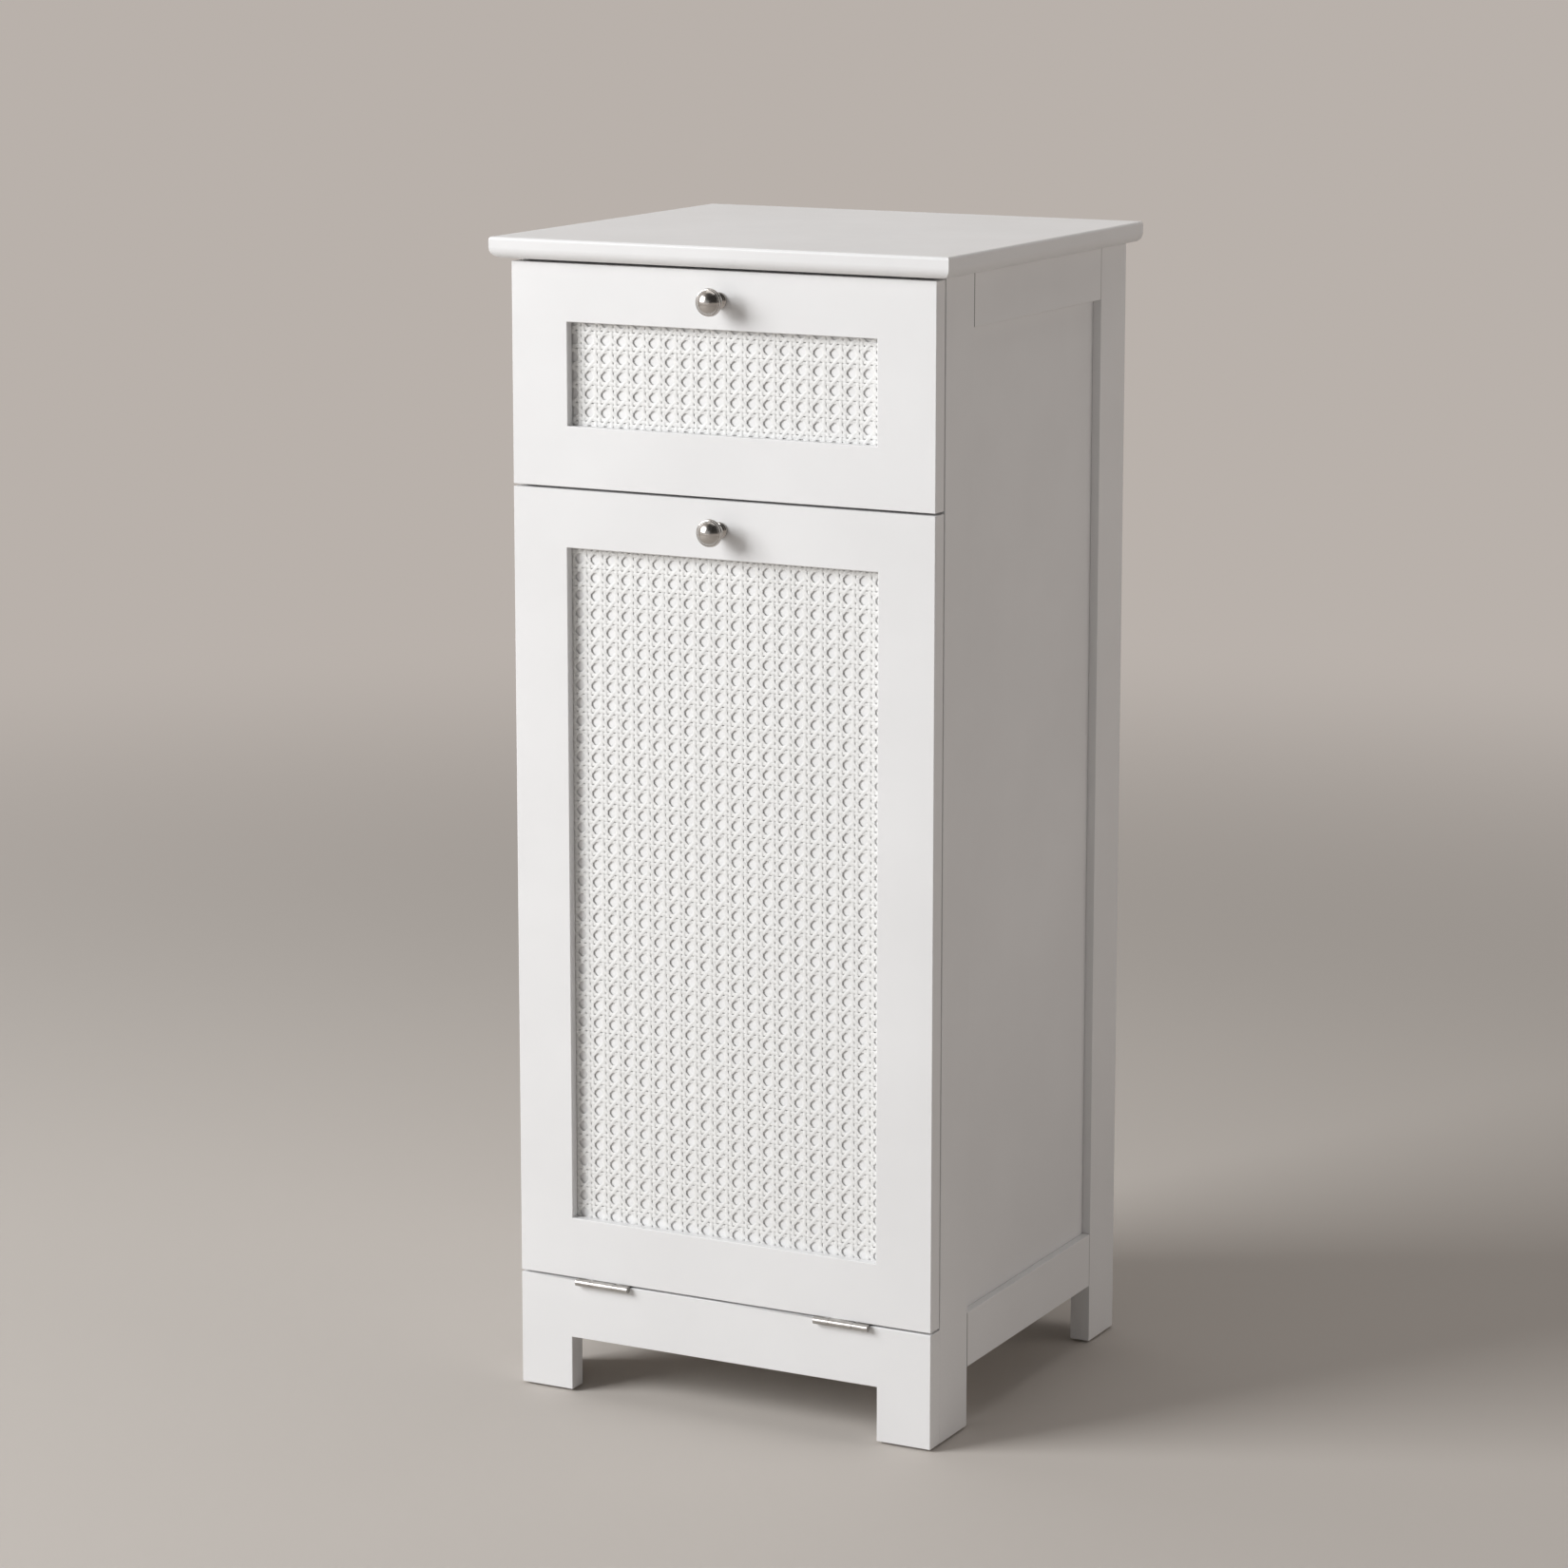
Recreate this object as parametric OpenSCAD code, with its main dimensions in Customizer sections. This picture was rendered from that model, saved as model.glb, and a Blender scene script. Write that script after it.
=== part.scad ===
// Tilt-out hamper cabinet with one drawer, painted white, with cane panels in its fronts.
// X runs across the front, Y runs back from the fronts, Z is up, and the floor is Z = 0.
// The origin is under the middle of the whole cabinet, knobs included. Millimetres.

/* [Overall] */
// Height from the floor to the top face
height = 1000; // [950:1:1150]
// Width across the side frames, the door and the apron
body_w = 394; // [360:1:480]
// Depth from the door's front face to the back of the rear legs
body_d = 381; // [374:1:460]

/* [Top panel] */
// Thickness of the top panel
top_t = 18; // [15:0.5:24]
// How far the top stands out past each side frame
top_side_overhang = 15.5; // [8:0.5:25]
// How far the top stands out past the drawer's face
top_front_overhang = 11; // [6:0.5:20]
// Rounding of the top panel's upper edge
top_upper_r = 2.5; // [0.5:0.5:4]
// Rounding of the top panel's lower edge
top_lower_r = 9; // [3:0.5:10]

/* [Side frames] */
// Thickness of the boards in the side frames
stile_t = 18; // [16:0.5:22]
// Width of the upright boards, front and rear
stile_w = 53; // [48:0.5:62]
// Height of the top rails
top_rail_h = 46; // [42:0.5:60]
// Height of the bottom rails
bottom_rail_h = 48; // [44:0.5:56]
// Clear height under the bottom rails
rail_clear = 53.6; // [46:0.2:58]
// Thickness of the side panels
side_panel_t = 3; // [2.5:0.5:5]
// Depth of the grooves that hold the panels
groove_d = 6; // [4:0.5:8]
// Play between a panel and each wall of its groove
groove_play = 0.1; // [0.05:0.05:0.2]

/* [Back] */
// Thickness of the back panel
back_panel_t = 3; // [2.5:0.5:5]
// Distance from the cabinet's back to the back panel
back_inset = 8; // [6:0.5:9]
// Thickness of the two rear rails
rear_rail_t = 18; // [16:0.5:20]

/* [Apron] */
// Height of the apron's top edge above the floor
apron_top = 101.7; // [99:0.1:112]
// Clear height of the notch under the apron
toe_h = 49.4; // [40:0.2:60]
// Width of each leg of the apron
apron_leg_w = 50; // [40:0.5:65]

/* [Fronts] */
// Thickness of the door and of the drawer front
front_t = 16; // [15:0.5:20]
// Gap between the fronts and the cabinet behind them
front_gap = 2; // [1.5:0.1:3]
// Height of the drawer front
drawer_front_h = 187.6; // [186:0.1:215]
// Gap between the top panel and the drawer front
drawer_top_gap = 2.4; // [1.5:0.1:4]
// Gap between the drawer front and the door
middle_gap = 2; // [1.5:0.1:4]
// Gap between the door and the apron
door_bottom_gap = 1.8; // [1.6:0.1:2.4]
// Width of the door's frame at its sides
door_stile_w = 51.5; // [46:0.5:65]
// Height of the door's frame above its window
door_top_rail_h = 49.3; // [40:0.1:70]
// Height of the door's frame under its window
door_bottom_rail_h = 53.1; // [40:0.1:80]
// Width of the drawer front's frame at its sides
drawer_stile_w = 53; // [46:0.5:65]
// Height of the drawer front's frame above its window
drawer_top_rail_h = 48.8; // [44:0.1:56]
// Height of the drawer front's frame under its window
drawer_bottom_rail_h = 51.5; // [44:0.1:60]

/* [Cane panels] */
// Thickness of the frame in front of the cane
lip_t = 8.5; // [6:0.1:9]
// Width of the step behind the window that holds the cane
rebate_w = 6; // [4:0.5:8]
// Thickness of the cane
cane_t = 1.6; // [1.2:0.1:2]
// Play round the cane and the backing board in their step
rebate_play = 0.2; // [0.1:0.05:0.4]
// Distance between the middles of the cane's holes, across
cane_pitch_x = 28.5; // [28:0.5:40]
// Distance between the middles of the cane's holes, upright
cane_pitch_z = 26; // [26:0.5:40]
// Width of an eight-sided cane hole across its flats
cane_hole = 17; // [12:0.5:19]

/* [Hinges] */
// Length of each hinge
hinge_l = 50.8; // [45:0.1:60]
// Distance of each hinge's middle from the cabinet's middle
hinge_x = 115; // [90:1:125]
// Thickness of the hinge leaves
leaf_t = 1; // [0.8:0.1:1.2]
// Depth of the hinge leaves behind the door's face
leaf_d = 14; // [12:0.5:15]
// Radius of the hinge knuckles
knuckle_r = 3; // [2.8:0.1:3.4]
// Length of each outer knuckle
outer_knuckle_l = 14; // [10:0.5:16]
// Play between neighbouring knuckles, and between a knuckle and the boards
knuckle_play = 0.3; // [0.25:0.05:0.4]
// How far the knuckles rise past the door's lower edge
knuckle_rise = 0.1; // [0:0.05:0.2]
// Radius of the hinge pins
pin_r = 1.5; // [1.2:0.1:1.7]
// Radial play of the hinge pins
pin_play = 0.05; // [0.02:0.01:0.08]
// How far the hinge screws sit from the ends of a leaf
hinge_screw_inset = 9; // [7:0.5:12]
// Length of the hinge screws
hinge_screw_l = 12; // [8:1:16]

/* [Knobs] */
// How far the knobs stand out from the fronts
knob_reach = 27; // [24:0.5:32]
// Radius of the knob's thin rim
knob_rim_r = 12.5; // [11:0.1:15]
// Radius of the dome inside the rim
knob_dome_r = 11.2; // [9:0.1:13]
// Height of the dome past the rim
knob_dome_h = 6.2; // [4:0.1:8]
// Radius of the knob's foot
knob_foot_r = 7; // [6:0.1:9]
// Radius of the bead on the knob's neck
knob_bead_r = 7.4; // [6:0.1:8]
// Radius of the knob's neck
knob_neck_r = 4.4; // [4:0.1:5.5]
// Radius of the knob screws
knob_screw_r = 2; // [1.5:0.1:2.5]
// Radius of the knob screws' heads
knob_screw_head_r = 4; // [3.5:0.1:5]
// Height of the knob screws' heads
knob_screw_head_h = 2.4; // [2:0.1:3]
// Length of thread that the screw has inside the knob
knob_thread_l = 8; // [6:0.5:12]

/* [Drawer box] */
// Thickness of the drawer box's boards
box_t = 12; // [10:0.5:15]
// Height of the drawer box
box_h = 148; // [142:1:150]
// Height of the drawer box's underside above the front's lower edge
box_rise = 8; // [6:0.5:10]
// Gap between the drawer box and the rear rail
box_back_gap = 27; // [8:1:34]
// Thickness of the drawer's bottom board
box_bottom_t = 4; // [3:0.5:6]
// Height of the bottom board above the box's underside
box_bottom_rise = 8; // [5:0.5:12]
// Depth of the groove that holds the bottom board
box_groove_d = 5; // [4:0.5:7]

/* [Drawer slides] */
// Length of the slide members
slide_l = 300; // [280:1:305]
// Width of a slide between the side frame and the drawer box
slide_w = 12.7; // [12.5:0.1:14]
// Height of the outer slide member
slide_h = 35; // [32:0.5:40]
// Thickness of the slides' sheet steel
sheet_t = 1.2; // [1:0.1:1.5]
// Distance from the cabinet's front to the slides
slide_setback = 4; // [3:0.5:8]
// Height of the slides' middle above the drawer box's underside
slide_rise = 80; // [60:1:100]
// Diameter of the balls
ball_d = 3.9; // [3.5:0.1:4.2]
// Play of a ball between its races, on each side
ball_play = 0.05; // [0.03:0.01:0.08]
// Number of balls in each row
ball_count = 6; // [4:1:8]
// Thickness of the ball cages
cage_t = 0.6; // [0.5:0.1:0.8]
// Length of the screws that hold the slides
slide_screw_l = 8; // [6:0.5:8]
// How far the drawer comes out
drawer_travel = 225; // [180:1:235]
// Height of the wooden battens behind the slides
batten_h = 42; // [36:1:60]

/* [Hamper bin] */
// Thickness of the bin's boards
bin_t = 9; // [6:0.5:12]
// Gap between the bin and the rear rails
bin_back_gap = 47; // [30:1:110]
// Gap between the bin and the side frames
bin_side_gap = 9; // [6:0.5:12]
// Height of the bin's underside above the door's lower edge
bin_rise = 4; // [2:0.5:10]
// Gap between the bin's curved top and the cleats above it
bin_top_gap = 14.4; // [8:0.1:80]
// How far the door tilts out, in degrees
tilt = 35; // [25:1:38]
// Distance of the stop pins from the hinge axis
stop_r = 330; // [300:1:380]
// Distance of the stop pins behind the cabinet's front
stop_pin_back = 29; // [24:0.5:32]
// Radius of the stop pins
stop_pin_r = 4; // [3:0.1:5]
// Depth of the stop pins in the side frames
stop_pin_seat = 10; // [8:0.5:12]
// Play of the stop pins in their slots
stop_play = 0.3; // [0.2:0.05:0.5]
// Length of each leg of the bin's angle brackets
bracket_leg = 15; // [13:0.5:20]
// Width of the brackets
bracket_w = 20; // [12:1:30]
// Thickness of the brackets
bracket_t = 1.5; // [1:0.1:2]
// Distance of a bracket's screws from its corner
bracket_screw_inset = 6.5; // [5:0.5:7]
// Length of the brackets' screws
bracket_screw_l = 7; // [6:0.5:8]
// Distance of the lower brackets above the bin's underside
bracket_low = 60; // [30:1:120]
// Distance of the upper brackets under the door's upper edge
bracket_high = 140; // [80:1:200]

/* [Inside boards] */
// Thickness of the floor board
floor_t = 12; // [9:0.5:15]
// Distance from the apron's top edge down to the floor board's face
floor_drop = 12; // [8:0.5:18]
// Thickness of the divider under the drawer
divider_t = 15; // [12:0.5:16]
// Distance from the drawer front's lower edge down to the divider's face
divider_drop = 7; // [5:0.5:8]
// Width and height of the cleats under both boards
cleat = 15; // [12:0.5:16]
// Width of the stretcher under the top panel
stretcher_w = 60; // [50:1:80]
// Thickness of the stretcher
stretcher_t = 18; // [15:0.5:18]

/* [Small parts] */
// Radius of the foot glides
glide_r = 7; // [6:0.1:7.5]
// Thickness of the foot glides
glide_t = 2; // [1.5:0.1:3]
// Radius of the foot glides' nails
glide_nail_r = 1; // [0.8:0.1:1.5]
// Length of the foot glides' nails
glide_nail_l = 14; // [10:1:20]
// Radius of the dowels
dowel_r = 4; // [3:0.5:4]
// Length of the dowels
dowel_l = 28; // [20:1:30]
// Distance of the outer dowels from the edge of a rail
dowel_edge = 12; // [9:0.5:13]
// Distance between the two dowels in a joint
dowel_step = 17; // [12:0.5:18]
// Play round dowels, screws and nails
seat_play = 0.05; // [0.03:0.01:0.1]
// Radius of the small countersunk screws
screw_r = 1.5; // [1.2:0.1:1.6]
// Radius of the small screws' heads
screw_head_r = 2.9; // [2.5:0.1:3.2]
// Depth of the small screws' heads
screw_head_h = 1.3; // [1:0.1:1.6]
// Radius of the large countersunk screws
big_screw_r = 2; // [1.7:0.1:2.2]
// Radius of the large screws' heads
big_head_r = 4; // [3.5:0.1:4.5]
// Depth of the large screws' heads
big_head_h = 2.2; // [1.8:0.1:2.6]
// Length of the screws that hold the top panel
top_screw_l = 29; // [24:1:30]
// Distance of the top screws from the cabinet's middle
top_screw_x = 130; // [90:1:150]
// Length of the screws that hold the drawer front
front_screw_l = 22; // [18:1:24]
// Distance of the drawer front screws from the middle
front_screw_x = 100; // [60:1:120]
// Width of the magnetic catch
catch_w = 40; // [30:1:50]
// Distance of the magnetic catch from the cabinet's middle
catch_x = 60; // [45:1:110]
// Height of the magnetic catch
catch_h = 13; // [10:0.5:14]
// Depth of the magnetic catch
catch_d = 15; // [12:0.5:25]
// Thickness of the strike plate
strike_t = 1.2; // [0.8:0.1:1.4]
// Gap between the catch and the strike plate
catch_gap = 0.3; // [0.2:0.05:0.5]
// Radius of the bumpers
bumper_r = 5; // [4:0.1:6]
// Gap between the bumpers and the cabinet
bumper_gap = 0.3; // [0.2:0.05:0.5]

/* [Hidden] */

// Colours as the photograph shows them
paint = "whitesmoke";
cane_white = "white";
board_white = "gainsboro";
bare_wood = "burlywood";
nickel = "silver";
steel = "lightsteelblue";
plastic = "lightgray";

$fn = 48;
big_fn = 180;
over = 1;

// Planes across the depth, from the front
front_y = (knob_reach - body_d) / 2;
front_back_y = front_y + front_t;
carcass_y = front_back_y + front_gap;
back_y = front_y + body_d;
stile_back_y = carcass_y + stile_w;
rear_stile_y = back_y - stile_w;
rear_rail_y = back_y - rear_rail_t;
back_panel_y = back_y - back_inset - back_panel_t;
bin_back_y = rear_rail_y - bin_back_gap;
box_back_y = rear_rail_y - box_back_gap;

// Planes across the width, on the right side
side_x = body_w / 2;
inner_x = side_x - stile_t;
frame_mid_x = side_x - stile_t / 2;
panel_in_x = frame_mid_x - side_panel_t / 2;
panel_out_x = frame_mid_x + side_panel_t / 2;
box_x = inner_x - slide_w;
bin_x = inner_x - bin_side_gap;

// Heights
top_under = height - top_t;
rail_top = rail_clear + bottom_rail_h;
top_rail_z = top_under - top_rail_h;
door_z0 = apron_top + door_bottom_gap;
drawer_z1 = top_under - drawer_top_gap;
drawer_z0 = drawer_z1 - drawer_front_h;
door_z1 = drawer_z0 - middle_gap;
floor_z1 = apron_top - floor_drop;
floor_z0 = floor_z1 - floor_t;
divider_z1 = drawer_z0 - divider_drop;
divider_z0 = divider_z1 - divider_t;
box_z0 = drawer_z0 + box_rise;
box_z1 = box_z0 + box_h;
box_bottom_z = box_z0 + box_bottom_rise;
slide_z = box_z0 + slide_rise;
bin_z0 = door_z0 + bin_rise;
door_knob_z = door_z1 - door_top_rail_h / 2;
drawer_knob_z = drawer_z1 - drawer_top_rail_h / 2;

// Hinge axis
axis_y = front_y - knuckle_r - knuckle_play;
axis_z = door_z0 - knuckle_r + knuckle_rise;
inner_knuckle_l = hinge_l - 2 * outer_knuckle_l - 2 * knuckle_play;
hinge_screw_y = front_y + leaf_d / 2;

// The bin's top follows an arc round the hinge axis, which also ends the bin's back
bin_sweep_r = divider_z0 - cleat - bin_top_gap - axis_z;
bin_back_z1 = axis_z + sqrt(pow(bin_sweep_r, 2) - pow(bin_back_y - axis_y, 2));

// Stop pins, on an arc round the hinge axis
stop_y = carcass_y + stop_pin_back;
stop_angle = acos((stop_y - axis_y) / stop_r);
stop_z = axis_z + stop_r * sin(stop_angle);

// Slides, seen along their length: flanges, races and the row of balls
race_gap = ball_d + 2 * ball_play;
runner_h = slide_h - 2 * sheet_t - 2 * race_gap;
ball_z = runner_h / 2 + race_gap / 2;
ball_x = box_x + slide_w * 0.42;
race_lip = 1;
lip_play = 0.3;
outer_tip_x = ball_x - ball_d / 2 - lip_play - sheet_t;
runner_tip_x = ball_x + ball_d / 2 + lip_play + sheet_t;
cage_web_x = (runner_tip_x + inner_x - sheet_t - cage_t) / 2;
slide_y = carcass_y + slide_setback;
cage_end_play = 1;
cage_l = slide_l - drawer_travel - 2 * cage_end_play;
cage_y = slide_y + drawer_travel / 2 + cage_end_play;
ball_step = cage_l / ball_count;
ball_hole_r = ball_d / 2 + 2 * ball_play;

// How far the slides' screws sit from the front and rear ends of their member
channel_insets = [20, 25];
runner_insets = [35, 40];
slide_end_y = slide_y + slide_l;
channel_screw_ys = [slide_y + channel_insets[0], slide_y + slide_l / 2, slide_end_y - channel_insets[1]];
runner_screw_ys = [slide_y + runner_insets[0], slide_end_y - runner_insets[1]];

// Dowels in the frames
dowel_zs = [
    rail_clear + dowel_edge, rail_clear + dowel_edge + dowel_step,
    top_under - dowel_edge - dowel_step, top_under - dowel_edge
];
dowel_stile_share = 12;

// Screws that hold the drawer front, in its upper and lower rail
front_screw_zs = [
    (box_z0 + drawer_z0 + drawer_bottom_rail_h - rebate_w) / 2,
    (box_z1 + drawer_z1 - drawer_top_rail_h + rebate_w) / 2
];

// One block between two opposite corners
module block(lo, hi) {
    translate(lo) cube(hi - lo);
}

// The same thing on the right and on the left
module both_sides() {
    children();
    mirror([1, 0, 0]) children();
}

// A flat shape drawn in Y and Z, given its thickness along X
module across(x0, x1) {
    translate([x0, 0, 0]) rotate([90, 0, 90]) linear_extrude(x1 - x0) children();
}

// A flat shape drawn in X and Z, given its thickness along Y
module along(y0, y1) {
    translate([0, y1, 0]) rotate([90, 0, 0]) linear_extrude(y1 - y0) children();
}

// A rectangle between two opposite corners
module plate(lo, hi) {
    translate(lo) square(hi - lo);
}

// What a rounding takes off an outer corner that points along +X and +Y
module corner_waste(r) {
    translate([-r, -r]) difference() {
        square(r + over);
        circle(r, $fn = big_fn);
    }
}

// Countersunk screw along +Z, its head's face at the origin
module screw(l, r, head_r, head_h) {
    rotate_extrude()
        polygon([[0, 0], [head_r, 0], [r, head_h], [r, l - 2 * r], [0, l]]);
}

// The hole that such a screw needs, open at its mouth
module screw_hole(l, r, head_r, head_h) {
    hole_r = r + seat_play;
    mouth_r = head_r + seat_play;
    rotate_extrude() polygon([
        [0, -over], [mouth_r, -over], [mouth_r, 0], [hole_r, head_h + seat_play],
        [hole_r, l + seat_play], [0, l + seat_play]
    ]);
}

module small_screw(l) {
    screw(l, screw_r, screw_head_r, screw_head_h);
}

module small_screw_hole(l) {
    screw_hole(l, screw_r, screw_head_r, screw_head_h);
}

module big_screw(l) {
    screw(l, big_screw_r, big_head_r, big_head_h);
}

module big_screw_hole(l) {
    screw_hole(l, big_screw_r, big_head_r, big_head_h);
}

// Places of the fasteners, each turned so that +Z is the way they are driven
module at_top_screws() {
    for (x = [-top_screw_x, top_screw_x], y = [carcass_y + stretcher_w / 2, back_y - rear_rail_t / 2])
        translate([x, y, top_under - stretcher_t]) children();
}

module at_front_screws() {
    for (x = [-front_screw_x, front_screw_x], z = front_screw_zs)
        translate([x, front_back_y + box_t, z]) rotate([90, 0, 0]) children();
}

module at_channel_screws() {
    both_sides() for (y = channel_screw_ys)
        translate([inner_x - sheet_t, y, slide_z]) rotate([0, 90, 0]) children();
}

module at_runner_screws() {
    both_sides() for (y = runner_screw_ys)
        translate([box_x + sheet_t, y, slide_z]) rotate([0, -90, 0]) children();
}

module at_fixed_hinge_screws() {
    both_sides() for (s = [-1, 1])
        translate([hinge_x + s * (hinge_l / 2 - hinge_screw_inset), hinge_screw_y, apron_top])
            mirror([0, 0, 1]) children();
}

module at_moving_hinge_screws() {
    both_sides() for (s = [-1, 1])
        translate([hinge_x + s * (hinge_l / 2 - hinge_screw_inset), hinge_screw_y, door_z0 - leaf_t])
            children();
}

module at_brackets() {
    both_sides() for (z = [bin_z0 + bracket_low, door_z1 - bracket_high])
        translate([bin_x - bin_t, front_back_y, z]) children();
}

// Each bracket has one screw into the bin's side and one into the door
module at_bracket_screws() {
    at_brackets() {
        translate([-bracket_t, bracket_screw_inset, 0]) rotate([0, 90, 0]) children();
        translate([-bracket_screw_inset, bracket_t, 0]) rotate([90, 0, 0]) children();
    }
}

module at_glides() {
    both_sides() for (y = [carcass_y + stile_w / 2, back_y - stile_w / 2])
        translate([frame_mid_x, y, 0]) children();
}

// Dowels of the side frames run back and forth, those of the rear rails across
module dowels(r, l) {
    for (z = dowel_zs) {
        both_sides() for (y = [stile_back_y, rear_stile_y])
            translate([frame_mid_x, y - l / 2, z]) rotate([-90, 0, 0]) cylinder(r = r, h = l);
        both_sides()
            translate([inner_x + dowel_stile_share - l + (l - dowel_l) / 2, back_y - rear_rail_t / 2, z])
                rotate([0, 90, 0]) cylinder(r = r, h = l);
    }
}

module dowel_holes() {
    dowels(dowel_r + seat_play, dowel_l + 2 * seat_play);
}

// Space that a panel takes in its frame's grooves, on the right
module side_groove() {
    block([panel_in_x - groove_play, stile_back_y - groove_d, rail_top - groove_d],
          [panel_out_x + groove_play, rear_stile_y + groove_d, top_rail_z + groove_d]);
}

module back_groove() {
    block([-inner_x - groove_d, back_panel_y - groove_play, rail_top - groove_d],
          [inner_x + groove_d, back_panel_y + back_panel_t + groove_play, top_rail_z + groove_d]);
}

// Top panel: a board with a rounded nose on its front and on both ends
module top_panel() {
    end_x = side_x + top_side_overhang;
    nose_y = front_y - top_front_overhang;
    color(paint) difference() {
        intersection() {
            along(nose_y, back_y) difference() {
                plate([-end_x, top_under], [end_x, height]);
                for (s = [0, 1]) mirror([s, 0]) {
                    translate([end_x, height]) corner_waste(top_upper_r);
                    translate([end_x, top_under]) mirror([0, 1]) corner_waste(top_lower_r);
                }
            }
            across(-end_x, end_x) difference() {
                plate([nose_y, top_under], [back_y, height]);
                translate([nose_y, height]) mirror([1, 0]) corner_waste(top_upper_r);
                translate([nose_y, top_under]) rotate(180) corner_waste(top_lower_r);
            }
        }
        at_top_screws() big_screw_hole(top_screw_l);
    }
}

// Upright boards of the side frames, which run down to the floor as legs
module front_stile() {
    color(paint) difference() {
        block([inner_x, carcass_y, glide_t], [side_x, stile_back_y, top_under]);
        side_groove();
        dowel_holes();
        at_glides() cylinder(r = glide_nail_r + seat_play, h = glide_t + glide_nail_l + seat_play);
        at_channel_screws() small_screw_hole(slide_screw_l);
        translate([inner_x - over, stop_y, stop_z]) rotate([0, 90, 0])
            cylinder(r = stop_pin_r + seat_play, h = over + stop_pin_seat + seat_play);
    }
}

module rear_stile() {
    color(paint) difference() {
        block([inner_x, rear_stile_y, glide_t], [side_x, back_y, top_under]);
        side_groove();
        back_groove();
        dowel_holes();
        at_glides() cylinder(r = glide_nail_r + seat_play, h = glide_t + glide_nail_l + seat_play);
        at_channel_screws() small_screw_hole(slide_screw_l);
    }
}

module right_front_stile() {
    front_stile();
}

module left_front_stile() {
    mirror([1, 0, 0]) front_stile();
}

module right_rear_stile() {
    rear_stile();
}

module left_rear_stile() {
    mirror([1, 0, 0]) rear_stile();
}

// Rails between the uprights of a side frame
module side_rail(z0, z1) {
    color(paint) difference() {
        block([inner_x, stile_back_y, z0], [side_x, rear_stile_y, z1]);
        side_groove();
        dowel_holes();
    }
}

module right_top_rail() {
    side_rail(top_rail_z, top_under);
}

module left_top_rail() {
    mirror([1, 0, 0]) side_rail(top_rail_z, top_under);
}

module right_bottom_rail() {
    side_rail(rail_clear, rail_top);
}

module left_bottom_rail() {
    mirror([1, 0, 0]) side_rail(rail_clear, rail_top);
}

// Thin panel held all round in the side frame's grooves
module side_panel() {
    bite = groove_d - groove_play;
    color(paint) block([panel_in_x, stile_back_y - bite, rail_top - bite],
                       [panel_out_x, rear_stile_y + bite, top_rail_z + bite]);
}

module right_side_panel() {
    side_panel();
}

module left_side_panel() {
    mirror([1, 0, 0]) side_panel();
}

// Back panel and the two rails above and below it
module back_panel() {
    bite = groove_d - groove_play;
    color(board_white) block([-inner_x - bite, back_panel_y, rail_top - bite],
                             [inner_x + bite, back_panel_y + back_panel_t, top_rail_z + bite]);
}

module rear_rail(z0, z1) {
    block([-inner_x, rear_rail_y, z0], [inner_x, back_y, z1]);
}

module rear_top_rail() {
    color(paint) difference() {
        rear_rail(top_rail_z, top_under);
        back_groove();
        dowel_holes();
        at_top_screws() {
            big_screw_hole(top_screw_l);
            translate([0, 0, -height]) cylinder(r = big_head_r + seat_play, h = height);
        }
    }
}

module rear_bottom_rail() {
    color(paint) difference() {
        rear_rail(rail_clear, rail_top);
        back_groove();
        dowel_holes();
    }
}

// Apron: one board across the front, cut out underneath so that its ends are legs
module apron() {
    color(paint) difference() {
        along(front_y, carcass_y) difference() {
            plate([-side_x, glide_t], [side_x, apron_top]);
            plate([-side_x + apron_leg_w, 0], [side_x - apron_leg_w, toe_h]);
        }
        both_sides() block([hinge_x - hinge_l / 2, front_y - over, apron_top - leaf_t],
                           [hinge_x + hinge_l / 2, front_y + leaf_d, apron_top + over]);
        at_fixed_hinge_screws() small_screw_hole(hinge_screw_l);
    }
}

// Boards across the inside, and the cleats that carry them
module floor_panel() {
    color(board_white) block([-inner_x, carcass_y, floor_z0], [inner_x, rear_rail_y, floor_z1]);
}

module divider_panel() {
    color(board_white)
        block([-inner_x, carcass_y, divider_z0], [inner_x, back_panel_y, divider_z1]);
}

module panel_cleats() {
    color(bare_wood) both_sides() for (z = [floor_z0, divider_z0])
        block([inner_x - cleat, carcass_y, z - cleat], [inner_x, rear_rail_y, z]);
}

module front_stretcher() {
    color(board_white) difference() {
        block([-inner_x, carcass_y, top_under - stretcher_t],
              [inner_x, carcass_y + stretcher_w, top_under]);
        at_top_screws() big_screw_hole(top_screw_l);
    }
}

module top_screws() {
    color(steel) at_top_screws() big_screw(top_screw_l);
}

// Battens that fill the side frames behind the slides
module slide_battens() {
    color(bare_wood) difference() {
        both_sides() block([inner_x, stile_back_y, slide_z - batten_h / 2],
                           [panel_in_x, rear_stile_y, slide_z + batten_h / 2]);
        at_channel_screws() small_screw_hole(slide_screw_l);
    }
}

// Outer slide member: a channel, its flange edges turned in over the balls
module slide_channels() {
    half = slide_h / 2;
    color(nickel) difference() {
        both_sides() along(slide_y, slide_y + slide_l) translate([0, slide_z]) {
            plate([inner_x - sheet_t, -half], [inner_x, half]);
            for (s = [0, 1]) mirror([0, s]) {
                plate([outer_tip_x, half - sheet_t], [inner_x, half]);
                plate([outer_tip_x, half - sheet_t - race_lip], [outer_tip_x + sheet_t, half]);
            }
        }
        at_channel_screws() small_screw_hole(slide_screw_l);
    }
}

module slide_screws() {
    color(steel) at_channel_screws() small_screw(slide_screw_l);
}

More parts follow.
